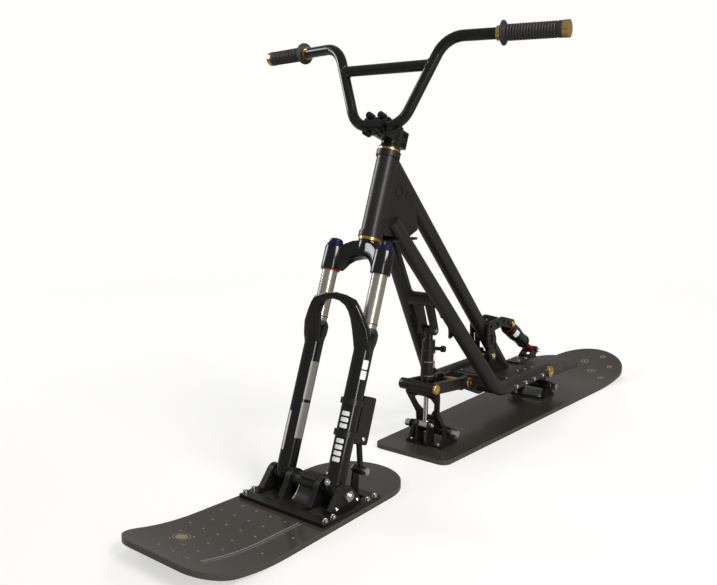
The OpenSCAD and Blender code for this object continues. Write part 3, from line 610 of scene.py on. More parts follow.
@dataclass(frozen=True)
class Finish:
    """One surface finish and the values that set it apart."""

    name: str
    slot: str
    colour: Colour
    metallic: float = 0.0
    roughness: float = 0.4
    coat: float = 0.0
    worn_colour: Colour = (0.35, 0.34, 0.32)
    wear: float = 0.0
    grain_scale: float = 900.0
    bump: float = 0.04
    tone: float = 0.06
    dust: float = 0.0
    specular: float = 0.5

    def build(self, groups: Groups, paint: Pattern | None = None) -> bpy.types.Material:
        """Builds the material.

        Args:
            groups: The shared shader groups.
            paint: Lays a pattern over the base colour, or None for a plain one.

        Returns:
            The material.
        """
        material = bpy.data.materials.new(self.name)
        material.use_nodes = True
        wires = Wiring(material.node_tree)
        shader = material.node_tree.nodes["Principled BSDF"]
        grain = wires.group(groups.grain, {"Scale": self.grain_scale})
        wear = wires.group(groups.wear, {"Amount": self.wear})
        dust = wires.group(groups.dust, {"Amount": self.dust})
        deep = tuple(c * (1 - self.tone) for c in self.colour) + (1.0,)
        pale = tuple(min(1.0, c * (1 + self.tone)) for c in self.colour) + (1.0,)
        base = wires.blend(grain.outputs["Tone"], deep, pale)
        if paint is not None:
            base = paint(wires, base)
        base = wires.blend(wear.outputs["Mask"], base, self.worn_colour + (1.0,))
        base = wires.blend(dust.outputs["Mask"], base, DUST_COLOUR)
        spread = wires.math("MULTIPLY_ADD", grain.outputs["Tone"], GLOSS_DRIFT, self.roughness - GLOSS_DRIFT / 2)
        rough = wires.math("ADD", spread, wires.math("MULTIPLY", dust.outputs["Mask"], DUST_ROUGHNESS), clamp=True)
        bump = wires.node("ShaderNodeBump")
        wires.settle(bump, {"Strength": self.bump, "Distance": BUMP_DEPTH, "Height": grain.outputs["Height"]})
        wires.settle(shader, {
            "Base Color": base, "Metallic": self.metallic, "Coat Weight": self.coat, "Coat Roughness": COAT_ROUGHNESS,
            "Specular IOR Level": self.specular, "Roughness": rough, "Normal": bump.outputs["Normal"],
        })
        return material


def edge_band(wires: Wiring, base: Socket) -> Socket:
    """Paints a board's upright edges in the pale tone of its core."""
    parts = wires.node("ShaderNodeSeparateXYZ")
    wires.join(wires.node("ShaderNodeTexCoord").outputs["Normal"], parts.inputs[0])
    upright = wires.math("SUBTRACT", 1.0, wires.ramp(wires.math("ABSOLUTE", parts.outputs["Z"]), 0.35, 0.6))
    return wires.blend(upright, base, CORE_COLOUR)


PATTERNS = {"board_lacquer": edge_band}

FINISHES = {
    finish.slot: finish
    for finish in (
        Finish("satin black paint", "frame_paint", (0.012, 0.0105, 0.009), roughness=0.33, bump=0.06, dust=0.02),
        Finish("scuffed deck plate", "deck_plate", (0.03, 0.028, 0.023), metallic=0.4, roughness=0.4, wear=0.12,
               tone=0.1, dust=0.02),
        Finish("gold anodised", "gold_anodised", (0.83, 0.56, 0.16), metallic=1.0, roughness=0.27),
        Finish("bright steel", "bright_steel", (0.78, 0.78, 0.77), metallic=1.0, roughness=0.22),
        Finish("black shock body", "shock_black", (0.006, 0.006, 0.006), roughness=0.2, coat=0.3,
               specular=0.35),
        Finish("machined black", "machined_black", (0.009, 0.0085, 0.008), metallic=0.1, roughness=0.3, dust=0.02),
        Finish("red anodised", "red_anodised", (0.4, 0.03, 0.025), metallic=0.8, roughness=0.36),
        Finish("blue anodised", "blue_anodised", (0.01, 0.013, 0.06), metallic=0.6, roughness=0.3),
        Finish("board lacquer", "board_lacquer", (0.042, 0.037, 0.031), roughness=0.17, bump=0.01),
        Finish("gloss fork paint", "fork_gloss", (0.005, 0.005, 0.005), roughness=0.16, coat=0.4, bump=0.02,
               dust=0.0, specular=0.3),
        Finish("grey stanchion", "stanchion_grey", (0.5, 0.48, 0.41), metallic=0.9, roughness=0.28),
        Finish("grip rubber", "grip_rubber", (0.016, 0.015, 0.014), roughness=0.58, grain_scale=1500, bump=0.3,
               dust=0.02),
    )
}


@dataclass
class Paintbox:
    """Every material of the object, by the record's slot."""

    groups: Groups
    made: dict[str, bpy.types.Material] = field(default_factory=dict)

    def of(self, slot: str) -> bpy.types.Material:
        """The material of a slot, built at its first use."""
        if slot not in self.made:
            self.made[slot] = FINISHES[slot].build(self.groups, PATTERNS.get(slot))
        return self.made[slot]

    def extra(self, finish: Finish) -> bpy.types.Material:
        """A further finish that shares a slot with another."""
        if finish.name not in self.made:
            self.made[finish.name] = finish.build(self.groups)
        return self.made[finish.name]


# Carried-over solids

# Width of the rounded edges that a solid's casting or machining has, in millimetres
SOFT_EDGES = {
    "gusset": 1.0, "stem": 1.2, "link_arms": 1.0, "rear_arm": 1.0, "rear_upright": 0.8, "axle_brackets": 1.4,
    "level_bracket": 0.8, "level_damper": 4.0, "rocker_plates": 0.6, "front_truck_base": 1.0, "rear_truck_base": 1.0,
    "foot_plate": 0.8, "tail_plate": 0.6, "shock_clevis": 0.8, "front_board": 0.8, "rear_board": 0.8,
}


def dress_nodes(nodes: dict[str, Object], record: dict, paints: Paintbox) -> None:
    """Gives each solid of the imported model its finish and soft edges.

    Args:
        nodes: The solids by name.
        record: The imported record.
        paints: The materials.
    """
    for row in record["subparts"]:
        node = nodes[row["node"]]
        node.data.materials.clear()
        node.data.materials.append(paints.of(row["material_slot"]))
        node.data.shade_smooth()
        node.data.set_sharp_from_angle(angle=math.radians(32))
        if row["node"] in SOFT_EDGES:
            round_edges(node, SOFT_EDGES[row["node"]])
        LOG.info("%s dressed", node.name)


# Small finishes that share the record's slots

PALE_PRINT = Finish("pale print", "board_lacquer", (0.17, 0.165, 0.15), roughness=0.3, tone=0.03)
TAN_PRINT = Finish("tan print", "board_lacquer", (0.24, 0.18, 0.1), roughness=0.3, tone=0.03)
PEWTER_PRINT = Finish("pewter print", "fork_gloss", (0.22, 0.215, 0.2), metallic=0.3, roughness=0.35, tone=0.04,
                      dust=0.0)
WHITE_PRINT = Finish("white print", "fork_gloss", (0.75, 0.75, 0.74), roughness=0.35, tone=0.02)
ROSE_PRINT = Finish("rose print", "shock_black", (0.55, 0.16, 0.17), roughness=0.35, tone=0.02)
SEAL_RUBBER = Finish("seal rubber", "grip_rubber", (0.014, 0.014, 0.014), roughness=0.51)
COPPER_RACE = Finish("copper race", "gold_anodised", (0.66, 0.34, 0.16), metallic=1.0, roughness=0.3)


@dataclass
class Assembly:
    """A group of pieces with the frames and materials that they share."""

    layout: Layout
    paints: Paintbox
    nodes: dict[str, Object]

    @property
    def steering(self) -> Matrix:
        """The steering frame."""
        return self.layout.steering

    @property
    def floor(self) -> Matrix:
        """The chassis frame, at the floor."""
        return self.layout.chassis

    def top_of(self, name: str, axis: int = 1) -> float:
        """Highest place of a solid along an axis, in millimetres."""
        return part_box(name)[1][axis] / MM

    def lay(self, draft: Draft, body: str, slot: str, shading: Shading = Shading.SMOOTH,
            bevel: float = 0.0) -> Object:
        """Places a draft on a body in the finish of a slot."""
        return draft.place(body, self.paints.of(slot), slot, shading, bevel)


class Cockpit(Assembly):
    """Grips, stem hardware, welds and headset seals, all in the steering frame."""

    BAR_LOW = Vector((53, 59, 227))
    BAR_UP = Vector((73, 137, 399))
    BAR_END = Vector((37, 374, 409))
    BAR_R = 11.1
    CROSS_FRACTION = 0.69
    GRIP_LENGTH = 124.0
    CAP_LENGTH = 8.0
    CLAMP_FACE = 72.0
    PINCH = Vector((-26, 15, 226))
    STEERER_TOP = 252.6

    def grip(self, name: str, side: float) -> None:
        """Turns one flanged and ribbed grip round its end of the handlebar."""
        end, up = (flipped(p, side) for p in (self.BAR_END, self.BAR_UP))
        outward = (end - up).normalized()
        place = self.steering @ along(end - outward * self.GRIP_LENGTH, outward)
        length = self.GRIP_LENGTH - self.CAP_LENGTH
        outer = [(11.2, 0), (21.5, 0), (23.3, 1.2), (23.3, 2.6), (21.8, 3.8), (16.4, 4.4), (15.3, 7)]
        ribs = 17
        pitch = (length - 22) / ribs
        for i in range(ribs):
            foot = 10 + i * pitch
            outer += [(14.2, foot), (15.4, foot + pitch * 0.25), (15.4, foot + pitch * 0.62),
                      (14.2, foot + pitch * 0.85)]
        outer += [(14.6, length - 11), (15.4, length - 9), (15.4, length - 1), (14.8, length), (11.2, length)]
        draft = Draft(f"{name}_rubber")
        draft.lathe(place, outer, 56, hollow=True)
        piece = self.lay(draft, STEER_BODY, "grip_rubber")
        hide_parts(name)

    def stem_hardware(self) -> None:
        """Adds the stem's screws, top cap and tapered spacer."""
        screws = [Fixing((self.CLAMP_FACE, 15 * s, self.BAR_LOW.z + 18 * d), (1, 0, 0), 4.6, 2.6)
                  for s in (-1, 1) for d in (-1, 1)]
        pinch = [self.PINCH + Vector((0, 0, 10 * d)) for d in (-1, 1)]
        screws += [Fixing(p, (0, 1, 0), 4.4, 3.6) for p in pinch]
        screws.append(Fixing((0, 0, self.STEERER_TOP), (0, 0, 1), 6.0, 2.6))
        draft = Draft("stem_screws")
        draft.fixings(self.steering, screws)
        self.lay(draft, STEER_BODY, "machined_black")
        nuts = Draft("stem_pinch_nuts")
        nuts.fixings(self.steering, [Fixing(flipped(p), (0, -1, 0), 4.8, 3.2) for p in pinch], True)
        self.lay(nuts, STEER_BODY, "machined_black", Shading.CRISP)
        cap = Draft("stem_top_cap")
        cap.lathe(self.steering,
                  [(15.9, 250.3), (16.4, 250.9), (16.4, 252), (14.8, 253.2), (7, 253.4), (7, 252.3)], 48)
        cap.lathe(self.steering, [(23.4, 196.3), (23.4, 198.5), (19.2, 205.4), (18.1, 205.4), (18.1, 196.3)],
                  48, hollow=True)
        self.lay(cap, STEER_BODY, "machined_black")

    def welds(self) -> None:
        """Runs the weld beads where the crossbar meets the uprights."""
        draft = Draft("crossbar_welds")
        meet = self.BAR_LOW + (self.BAR_UP - self.BAR_LOW) * self.CROSS_FRACTION
        for side in (-1, 1):
            low, up = (flipped(p, side) for p in (self.BAR_LOW, self.BAR_UP))
            start = Vector((meet.x, 0, meet.z))
            curve = saddle(start, Vector((0, side, 0)), self.BAR_R, low, up - low, self.BAR_R + 0.1)
            draft.bead([self.steering @ p for p in curve], 1.7,
                       self.steering.to_3x3() @ Vector((0, side, 0)))
        self.lay(draft, STEER_BODY, "frame_paint")

    def bearings(self) -> None:
        """Adds the crown race and the seals of the headset."""
        race = Draft("crown_race")
        race.lathe(self.steering, [(15, -1.9), (23.6, -1.9), (23.6, -0.9), (22.6, -0.2), (15, -0.2)], 56,
                   hollow=True)
        race.place(STEER_BODY, self.paints.extra(COPPER_RACE), "gold_anodised")
        seals = Draft("headset_seals")
        for height in (5.0, 191.0):
            seals.torus(self.steering @ Matrix.Translation((0, 0, height)), 25.4, 0.55, 64, 8)
        seals.place(FRAME_BODY, self.paints.extra(SEAL_RUBBER), "grip_rubber")

    def build(self) -> None:
        """Builds every piece of the cockpit."""
        self.grip("grip_left", 1)
        self.grip("grip_right", -1)
        self.stem_hardware()
        self.welds()
        self.bearings()


class Legs(Assembly):
    """What the two legs of the fork share: their place in the steering frame."""

    OFFSET = 26.0
    HALF = 65.0

    def leg(self, side: float) -> Matrix:
        """The frame of one leg: its Z runs up the leg."""
        return self.steering @ Matrix.Translation((self.OFFSET, self.HALF * side, 0))


class Fork(Legs):
    """Seals, caps and plain bands of the fork, all in the steering frame."""

    LEG_R = 19.5
    STANCHION_R = 16.0
    # Feet of the short bars on the near leg
    LADDER = (-356, -368, -380, -409, -421, -433, -445)

    def seals(self) -> None:
        """Adds the wiper seals on the lower legs and a travel ring on each stanchion."""
        draft = Draft("fork_seals")
        bore = self.STANCHION_R + 0.1
        for side in (-1, 1):
            place = self.leg(side)
            draft.lathe(place,
                        [(bore, -190), (21.4, -189.8), (21.4, -187.6), (19.8, -186.8), (19.4, -184.2),
                         (17.2, -181.4), (bore, -181.4)],
                        56, hollow=True)
            draft.torus(place @ Matrix.Translation((0, 0, -172)), bore + 0.7, 0.8, 48, 8)
        draft.place(STEER_BODY, self.paints.extra(SEAL_RUBBER), "grip_rubber")

    def caps(self) -> None:
        """Adds the domed cap, the knurled knob and the ring under the crown."""
        dome = Draft("fork_dome_cap")
        dome.lathe(self.leg(-1), [(14.2, -13.8), (14.2, -12), (12.6, -9.4), (9, -7.4), (4, -6.4)], 48)
        self.lay(dome, STEER_BODY, "blue_anodised")
        knob = Draft("fork_knob")
        knob.knob(self.leg(1) @ Matrix.Translation((0, 0, -13.8)), 11.5, 7.5)
        self.lay(knob, STEER_BODY, "machined_black", Shading.CRISP)
        ring = Draft("crown_foot_ring")
        ring.lathe(self.leg(-1), [(16.1, -75.4), (19.4, -75.4), (19.8, -74.8), (19.8, -73.4), (16.1, -73.4)], 48,
                   hollow=True)
        self.lay(ring, STEER_BODY, "red_anodised")

    def bands(self) -> None:
        """Lays the plain printed bands on the lower legs."""
        near, far = self.leg(1), self.leg(-1)
        reach = self.LEG_R + PRINT_LIFT
        rows = (
            ("fork_pewter_patches", PEWTER_PRINT, far, (((48, 112), (-345, -266)), ((48, 112), (-424, -351)))),
            ("fork_white_block", WHITE_PRINT, near, (((50, 86), (-262, -244)), ((50, 86), (-282, -265)))),
            ("fork_white_ladder", WHITE_PRINT, near, tuple(((-12, 36), (w, w + 8.5)) for w in self.LADDER)),
            ("fork_white_stripe", WHITE_PRINT, far, (((-24, -6), (-452, -372)),)),
        )
        for name, finish, place, patches in rows:
            draft = Draft(name)
            for turns, heights in patches:
                draft.wrap(place, reach, turns, heights, 1.5, 16)
            draft.place(STEER_BODY, self.paints.extra(finish), "fork_gloss")

    def build(self) -> None:
        """Builds every piece of the fork."""
        self.seals()
        self.caps()
        self.bands()


class ForkCastings(Legs):
    """The crown and the lower legs with the rounded forms of their castings, in the steering frame."""

    # Sections of the crown's arms, as [across, ahead, top, under, half depth]
    ARMS = ((0, 0, -3, -38, 20), (13, 3.4, -3.4, -40, 19), (26, 9.6, -6.5, -46.5, 17), (36, 14.2, -12, -56.7, 15.5),
            (41, 16.6, -15, -66, 15), (45, 18.4, -17.5, -72, 14.5), (54, 21.6, -22, -72.6, 14),
            (62, 24.8, -25.6, -72.6, 12))
    # Sections of the horseshoe in its own plane, as [inner across, inner up, outer across, outer up, half depth]
    SHOE = ((47, -22, 84.5, -24, 7), (46, 4, 85.5, 4, 8), (44, 28, 82, 30, 8.4), (41, 48, 71, 54, 8.4),
            (36, 62, 61, 72, 8.2),
            (28, 73, 51, 85, 8), (15, 80.6, 27, 92.6, 7.6), (0, 83, 0, 96, 7.4))
    SHOE_ROOT = Vector((36, 0, -214))
    SHOE_LEAN = 22.0

    def both_ways(self, rows: Sequence[Section]) -> list[Section]:
        """A run of sections from one side's end through the middle to the other side's end."""
        far = [Section(*(flipped(p) for p in row)) for row in reversed(rows)]
        return far + list(rows[1:])

    def crown(self) -> None:
        """Shapes the crown: its arms, the bosses on the stanchions and the steerer."""
        draft = Draft("crown_casting")
        arms = [Section((u, y, (top + under) / 2), (0, 0, (top - under) / 2), (deep, 0, 0))
                for y, u, top, under, deep in self.ARMS]
        draft.loft(self.steering, self.both_ways(arms), square=4.2)
        for side in (-1, 1):
            draft.lathe(self.leg(side),
                        [(16.1, -73), (19.4, -73), (20.5, -71.8), (20.5, -26), (19.6, -24.4), (16.1, -24.4)], 56,
                        hollow=True)
        draft.lathe(self.steering,
                    [(21, -30), (22.4, -27), (22.4, -3.4), (21.4, -2.1), (14.3, -2.1), (14.3, 254)], 56)
        piece = self.lay(draft, STEER_BODY, "fork_gloss")
        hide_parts("fork_crown")

    def lowers(self) -> None:
        """Shapes the lower legs, their axle lugs and the horseshoe between them."""
        draft = Draft("lower_leg_casting")
        for side in (-1, 1):
            draft.lathe(self.leg(side),
                        [(16.1, -190), (21.6, -190), (22.3, -190.8), (22.3, -205), (21.8, -208), (19.9, -219),
                         (19.5, -224),
                                         (19.5, -492), (18.6, -500), (16.2, -506), (16.1, -500)], 56, hollow=True)
            lug = self.steering @ along(Vector((self.OFFSET, (self.HALF - 10) * side, -502)),
                                               Vector((0, side, 0)))
            draft.lathe(lug, [(7.6, 0), (14, 0), (15, 1), (15, 28), (13.8, 29.4), (7.6, 29.4)], 48, hollow=True)
        lean = math.radians(self.SHOE_LEAN)
        plane = self.steering @ Matrix.Translation(self.SHOE_ROOT) @ Matrix.Rotation(lean, 4, "Y")
        rows = [Section((0, (y0 + y1) / 2, (z0 + z1) / 2), (0, (y1 - y0) / 2, (z1 - z0) / 2), (deep, 0, 0))
                for y0, z0, y1, z1, deep in reversed(self.SHOE)]
        draft.loft(plane, self.both_ways(rows), square=3.6)
        piece = self.lay(draft, STEER_BODY, "fork_gloss")
        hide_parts("fork_lowers")

    def build(self) -> None:
        """Builds both castings."""
        self.crown()
        self.lowers()


class BoardMount(Assembly):
    """Hardware of the front board's mount, at the floor's frame and on the steering body."""

    AXLE_X = 194.5
    AXLE_Z = 44.5
    EAR_FACE = 98.8
    BASE_TOP = 19.0
    SCREW_ROW = (118, 140, 242, 264)
    SCREW_Y = 106.5

    def build(self) -> None:
        """Builds every piece of the mount."""
        screws = [Fixing((x, self.SCREW_Y, self.BASE_TOP + 4), (0, 0, 1), 4.7, 1.4) for x in self.SCREW_ROW]
        screws += [Fixing((self.AXLE_X + 30 * s, self.EAR_FACE, 26.5), (0, 1, 0), 4.2, 2.4) for s in (-1, 1)]
        draft = Draft("mount_screws")
        draft.fixings(self.floor, mirrored(screws))
        for x in self.SCREW_ROW:
            for side in (-1, 1):
                draft.lathe(self.floor @ Matrix.Translation((x, self.SCREW_Y * side, self.BASE_TOP)),
                            [(5.1, 0.05), (5.4, 0.05), (5.4, 1.2), (5.1, 1.2)], 32, hollow=True)
        draft.both_ends(self.floor, (self.AXLE_X, 107.6, self.AXLE_Z), [(6.4, 0), (6.4, 3.4), (5.6, 4.2)], 24)
        self.lay(draft, STEER_BODY, "bright_steel")
        nuts = Draft("leg_foot_nuts")
        steering = self.steering
        nuts.fixings(steering,
                     [Fixing((45.3, 65, -486), (1, 0, 0), 7.2, 5.5),
                      Fixing((42.6, 54.6, -470), (1, -0.55, 0), 4.6, 4)], True)
        nuts.fixings(steering,
                     [Fixing((50.5, 65, -486), (1, 0, 0), 3.8, 4), Fixing((-20, 75, -396), (0, 1, 0), 4.2, 2.4)])
        self.lay(nuts, STEER_BODY, "bright_steel", Shading.CRISP)
        self.base()

    def base(self) -> None:
        """Shapes the base: its ring frame, the two rounded cheeks, the hollow saddle and the level tab."""
        draft = Draft("mount_base_casting")
        boxes = (((252, -112, 11), (276, 112, 19)), ((106, -112, 11), (130, 112, 19)), ((129, 90, 11), (253, 112, 19)),
                 ((129, -112, 11), (253, -90, 19)), ((129, -36, 11), (253, 36, 19)))
        for low, high in boxes:
            draft.slab(self.floor, low, high)
        x, saddle_front = self.AXLE_X, (self.AXLE_X + 56, 61)
        cheek = [(x + 42, 18)] + arc((x, 42), 23.5, (8, 172)) + [(x - 40, 18)]
        hollow = arc(saddle_front, 44, (250, 180), 20)
        saddle_side = [(x - 34, 18), *hollow, (x + 8, 64), (x - 18, 64)]
        tab = [(128, 18)] + arc((112, 62), 9, (-15, 200), 16) + [(106, 18)]
        for outline, near, deep in ((cheek, 45, 13), (cheek, -32, 13), (saddle_side, 30, 40), (tab, 55.5, 5)):
            draft.prism(self.upright_plane(near), outline, deep)
        sleeve = self.floor @ along(Vector((x, -34, self.AXLE_Z)), Vector((0, 1, 0)))
        draft.lathe(sleeve, [(16, 0), (16, 68)], 40)
        piece = self.lay(draft, STEER_BODY, "machined_black", bevel=0.9)
        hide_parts("board_base")
        strip = Draft("saddle_edge")
        rim = arc(saddle_front, 43.4, (244, 192), 20)
        strip.prism(self.upright_plane(-8.2), rim + arc(saddle_front, 45, (192, 244), 20), 2)
        self.lay(strip, STEER_BODY, "bright_steel", Shading.CRISP)

    def upright_plane(self, y: float) -> Matrix:
        """A frame at a distance across, with its X ahead, its Y up and its Z towards the far side."""
        return self.floor @ along(Vector((0, y, 0)), Vector((0, -1, 0)), Vector((1, 0, 0)))


class Boards(Assembly):
    """Plain stripes and small rings on the two boards."""

    TAIL_RINGS = ((-1012, 88, 9), (-1052, 40, 13), (-1098, 78, 8), (-1110, -8, 12), (-1060, -62, 10), (-1150, 34, 8))

    def surface(self, name: str) -> Surface:
        """The top surface of a board, for places in the chassis frame."""
        return Surface.of(self.nodes[name], self.floor)

    def stripes(self) -> None:
        """Lays a double stripe along each board."""
        rows = (
            ("front_board_stripes", STEER_BODY, "front_board", (286, 520), ((58, 62), (66, 68))),
            ("rear_board_stripes", FRAME_BODY, "rear_board", (-960, -1100), ((-72, -68), (-78, -76))),
        )
        for name, body, board, span, bands in rows:
            draft = Draft(name)
            for band in bands:
                draft.ribbon(self.surface(board), span, band)
            draft.place(body, self.paints.extra(PALE_PRINT), "board_lacquer")

    def rings(self) -> None:
        """Scatters a staggered lattice of small rings on the front board and a few rings on the tail."""
        board = self.surface("front_board")
        front = Draft("front_board_rings")
        pitch = 38.0
        for column in range(7):
            x = 300 + column * pitch
            for row in range(-3, 4):
                y = row * pitch + (pitch / 2 if column % 2 else 0)
                if abs(y) < 98 - max(0.0, x - 470) * 0.5 and not 48 < y < 78:
                    front.ring(board, (x, y), (0.4, 2.4))
        for radii in ((0.5, 11), (15, 16.5)):
            front.ring(board, (468, -52), radii)
        front.place(STEER_BODY, self.paints.extra(TAN_PRINT), "board_lacquer")
        tail = Draft("rear_board_rings")
        board = self.surface("rear_board")
        for x, y, radius in self.TAIL_RINGS:
            for radii in ((radius - 2.4, radius), (0.4, radius * 0.3)):
                tail.ring(board, (x, y), radii)
        tail.place(FRAME_BODY, self.paints.extra(TAN_PRINT), "board_lacquer")

    def build(self) -> None:
        """Builds the prints of both boards."""
        self.stripes()
        self.rings()


class Suspension(Assembly):
    """What both suspensions share: the screws and bushings of their truck."""

    TRUCK: Vector

    def truck_screws(self) -> list[Fixing]:
        """The screws that hold the truck to its board, on the near side."""
        return [Fixing((self.TRUCK.x + 27 * s, 36, 17), (0, 0, 1), 4.4, 3) for s in (-1, 1)]

    def bushings(self, name: str) -> None:
        """Adds the bushings at both ends of the truck's axle."""
        draft = Draft(name)
        profile = [(5.1, 0), (10, 0), (10.8, 1), (10.8, 4), (10, 5), (5.1, 5)]
        draft.both_ends(self.floor, (self.TRUCK.x, 54.8, self.TRUCK.z), profile, 36, hollow=True)
        draft.place(FRAME_BODY, self.paints.extra(SEAL_RUBBER), "grip_rubber")


class FrontLinkage(Suspension):
    """Shock bands, upright, bushings and screws of the front suspension."""

    TOP = Vector((-222, 0, 284))
    FOOT = Vector((-208, 0, 60))
    TRUCK = Vector((-236, 0, 44))
    ARM_PIN = Vector((-190, 0, 155))
    ARM_ROOT = Vector((-331, 0, 141))
    ARM_FACE = 44.15
    CAN_R = 16.2

    def shock(self) -> None:
        """Dresses the shock with bands, seals and its knob."""
        down = self.floor @ along(self.TOP, self.FOOT - self.TOP, Vector((0, 1, 0)))
        rows = (("front_shock_pale_band", WHITE_PRINT, (-34, 6), (54, 72)),
                ("front_shock_rose_band", ROSE_PRINT, (-34, 6), (77, 88)),
                ("front_shock_line", PEWTER_PRINT, (-90, 90), (73, 75)),
                ("front_shock_low_line", PEWTER_PRINT, (-90, 90), (106, 107.4)))
        for name, finish, turns, heights in rows:
            draft = Draft(name)
            draft.wrap(down, self.CAN_R + PRINT_LIFT, turns, heights, 1.5)
            draft.place(FRAME_BODY, self.paints.extra(finish), "shock_black")
        seal = Draft("front_shock_seals")
        seal.lathe(down, [(5.6, 124.2), (13.5, 124.2), (13.5, 127), (9, 130), (5.6, 130)], 40, hollow=True)
        seal.torus(down @ Matrix.Translation((0, 0, 46)), 15.9, 0.9, 48, 8)
        seal.torus(down @ Matrix.Translation((0, 0, 152)), 6.1, 0.8, 32, 8)
        seal.place(FRAME_BODY, self.paints.extra(SEAL_RUBBER), "grip_rubber")
        knob = Draft("front_shock_knob")
        outward = Vector((-0.342, 0.94, 0))
        knob.knob(self.floor @ along(Vector((-234, 6, 238)) + outward * 16, outward), 7.6, 11, 18)
        self.lay(knob, FRAME_BODY, "machined_black", Shading.CRISP)

    def upright(self) -> None:
        """Shapes the waisted upright with its windows, and the far arm's dark boss."""
        side = ((39, 0), (36, 20), (31, 46), (37, 69), (45, 98), (45, 105), (30, 105.6), (29.6, 120))
        eye = ((9, 36), (15, 50), (25, 62), (30, 80), (24, 92), (9, 97))
        high = ((14, 100), (36, 95), (37, 101), (14, 102.5))
        low = ((22, 16), (16, 29))
        mirror = [[(-x, y) for x, y in reversed(rows)] for rows in (side, eye, high, low)]
        up = Vector((46, 0, 111)).normalized()
        place = self.floor @ along(self.TRUCK, Vector((up.z, 0, -up.x)),
                                            Vector((0, 1, 0))) @ Matrix.Translation((0, 0, -5.5))
        draft = Draft("front_upright_casting")
        draft.plate(place, [*side, *mirror[0]], ([*eye, *mirror[1]], high, mirror[2], [*low, *mirror[3]]), 11)
        for centre, half, radius, bore in ((self.ARM_PIN, 29.6, 12, 6.2), (self.TRUCK, 40.2, 12, 5.1)):
            barrel = self.floor @ along(centre - Vector((0, half, 0)), Vector((0, 1, 0)))
            draft.lathe(barrel,
                        [(bore, 0), (radius - 0.8, 0), (radius, 0.8), (radius, 2 * half - 0.8),
                         (radius - 0.8, 2 * half), (bore, 2 * half)],
                        40, hollow=True)
        piece = self.lay(draft, FRAME_BODY, "machined_black", bevel=0.7)
        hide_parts("front_upright")
        boss = Draft("far_arm_boss")
        place = self.floor @ along(self.ARM_PIN - Vector((0, 40.4, 0)), Vector((0, -1, 0)))
        boss.lathe(place, [(13, 0), (13, 13.4), (12, 15), (7, 15), (6.4, 13.6)], 40)
        self.lay(boss, FRAME_BODY, "machined_black")

    def screws(self) -> None:
        """Adds the screws, gold covers and bushings of the linkage."""
        draft = Draft("front_linkage_screws")
        rows = [Fixing((p.x, 21.45, p.z), (0, 1, 0), 5.2, 1.6) for p in (self.TOP, self.FOOT)]
        draft.fixings(self.floor, mirrored(rows + self.truck_screws()))
        self.lay(draft, FRAME_BODY, "bright_steel")
        covers = Draft("front_linkage_covers")
        for pin, sides in ((self.ARM_PIN, (1,)), (self.ARM_ROOT, (-1, 1))):
            profile = [(11.4, 0), (11.4, 0.7), (10.2, 1.7), (5.4, 1.7), (4.8, 0.3)]
            covers.both_ends(self.floor, (pin.x, self.ARM_FACE, pin.z), profile, 40, sides=sides)
        self.lay(covers, FRAME_BODY, "gold_anodised")
        self.bushings("front_truck_bushings")

    def build(self) -> None:
        """Builds every piece of the front suspension."""
        self.shock()
        self.upright()
        self.screws()


class RearLinkage(Suspension):
    """Rings, patch and screws of the rear suspension."""

    TOP = Vector((-566, 0, 246))
    TAIL = Vector((-724, 0, 145))
    TRUCK = Vector((-742, 0, 44))
    PIVOT = Vector((-468, 0, 178))
    CLEVIS_TOP = 130.15
    CAN_R = 20.0

    def shock(self) -> None:
        """Dresses the shock with its red rings and plain patch."""
        down = self.floor @ along(self.TOP, self.TAIL - self.TOP, Vector((0, 1, 0)))
        rings = Draft("rear_shock_rings")
        for bore, radius, low, high in ((10.1, 17.8, 22, 27.5), (7.2, 16.5, 131.3, 136)):
            rings.lathe(down, [(bore, low), (radius, low), (radius, high), (bore, high)], 48, hollow=True)
        self.lay(rings, FRAME_BODY, "red_anodised")
        patch = Draft("rear_shock_patch")
        patch.wrap(down, self.CAN_R + PRINT_LIFT, (-4, 52), (44, 64), 4)
        patch.place(FRAME_BODY, self.paints.extra(WHITE_PRINT), "shock_black")

    def screws(self) -> None:
        """Adds the screws of the rocker, the clevis and the truck."""
        draft = Draft("rear_linkage_screws")
        reach = self.top_of("rocker_axles")
        rows = [Fixing((p.x, reach, p.z), (0, 1, 0), 5.4, 1.6) for p in (self.TOP, self.PIVOT)]
        rows += [Fixing((self.TAIL.x, 21, self.TAIL.z), (0, 1, 0), 6.4, 3.2)]
        rows += [Fixing((x, 13, self.CLEVIS_TOP), (0, 0, 1), 4.2, 3) for x in (-672, -632)]
        draft.fixings(self.floor, mirrored(rows + self.truck_screws()))
        self.lay(draft, FRAME_BODY, "bright_steel")
        self.bushings("rear_truck_bushings")

    def build(self) -> None:
        """Builds every piece of the rear suspension."""
        self.shock()
        self.screws()


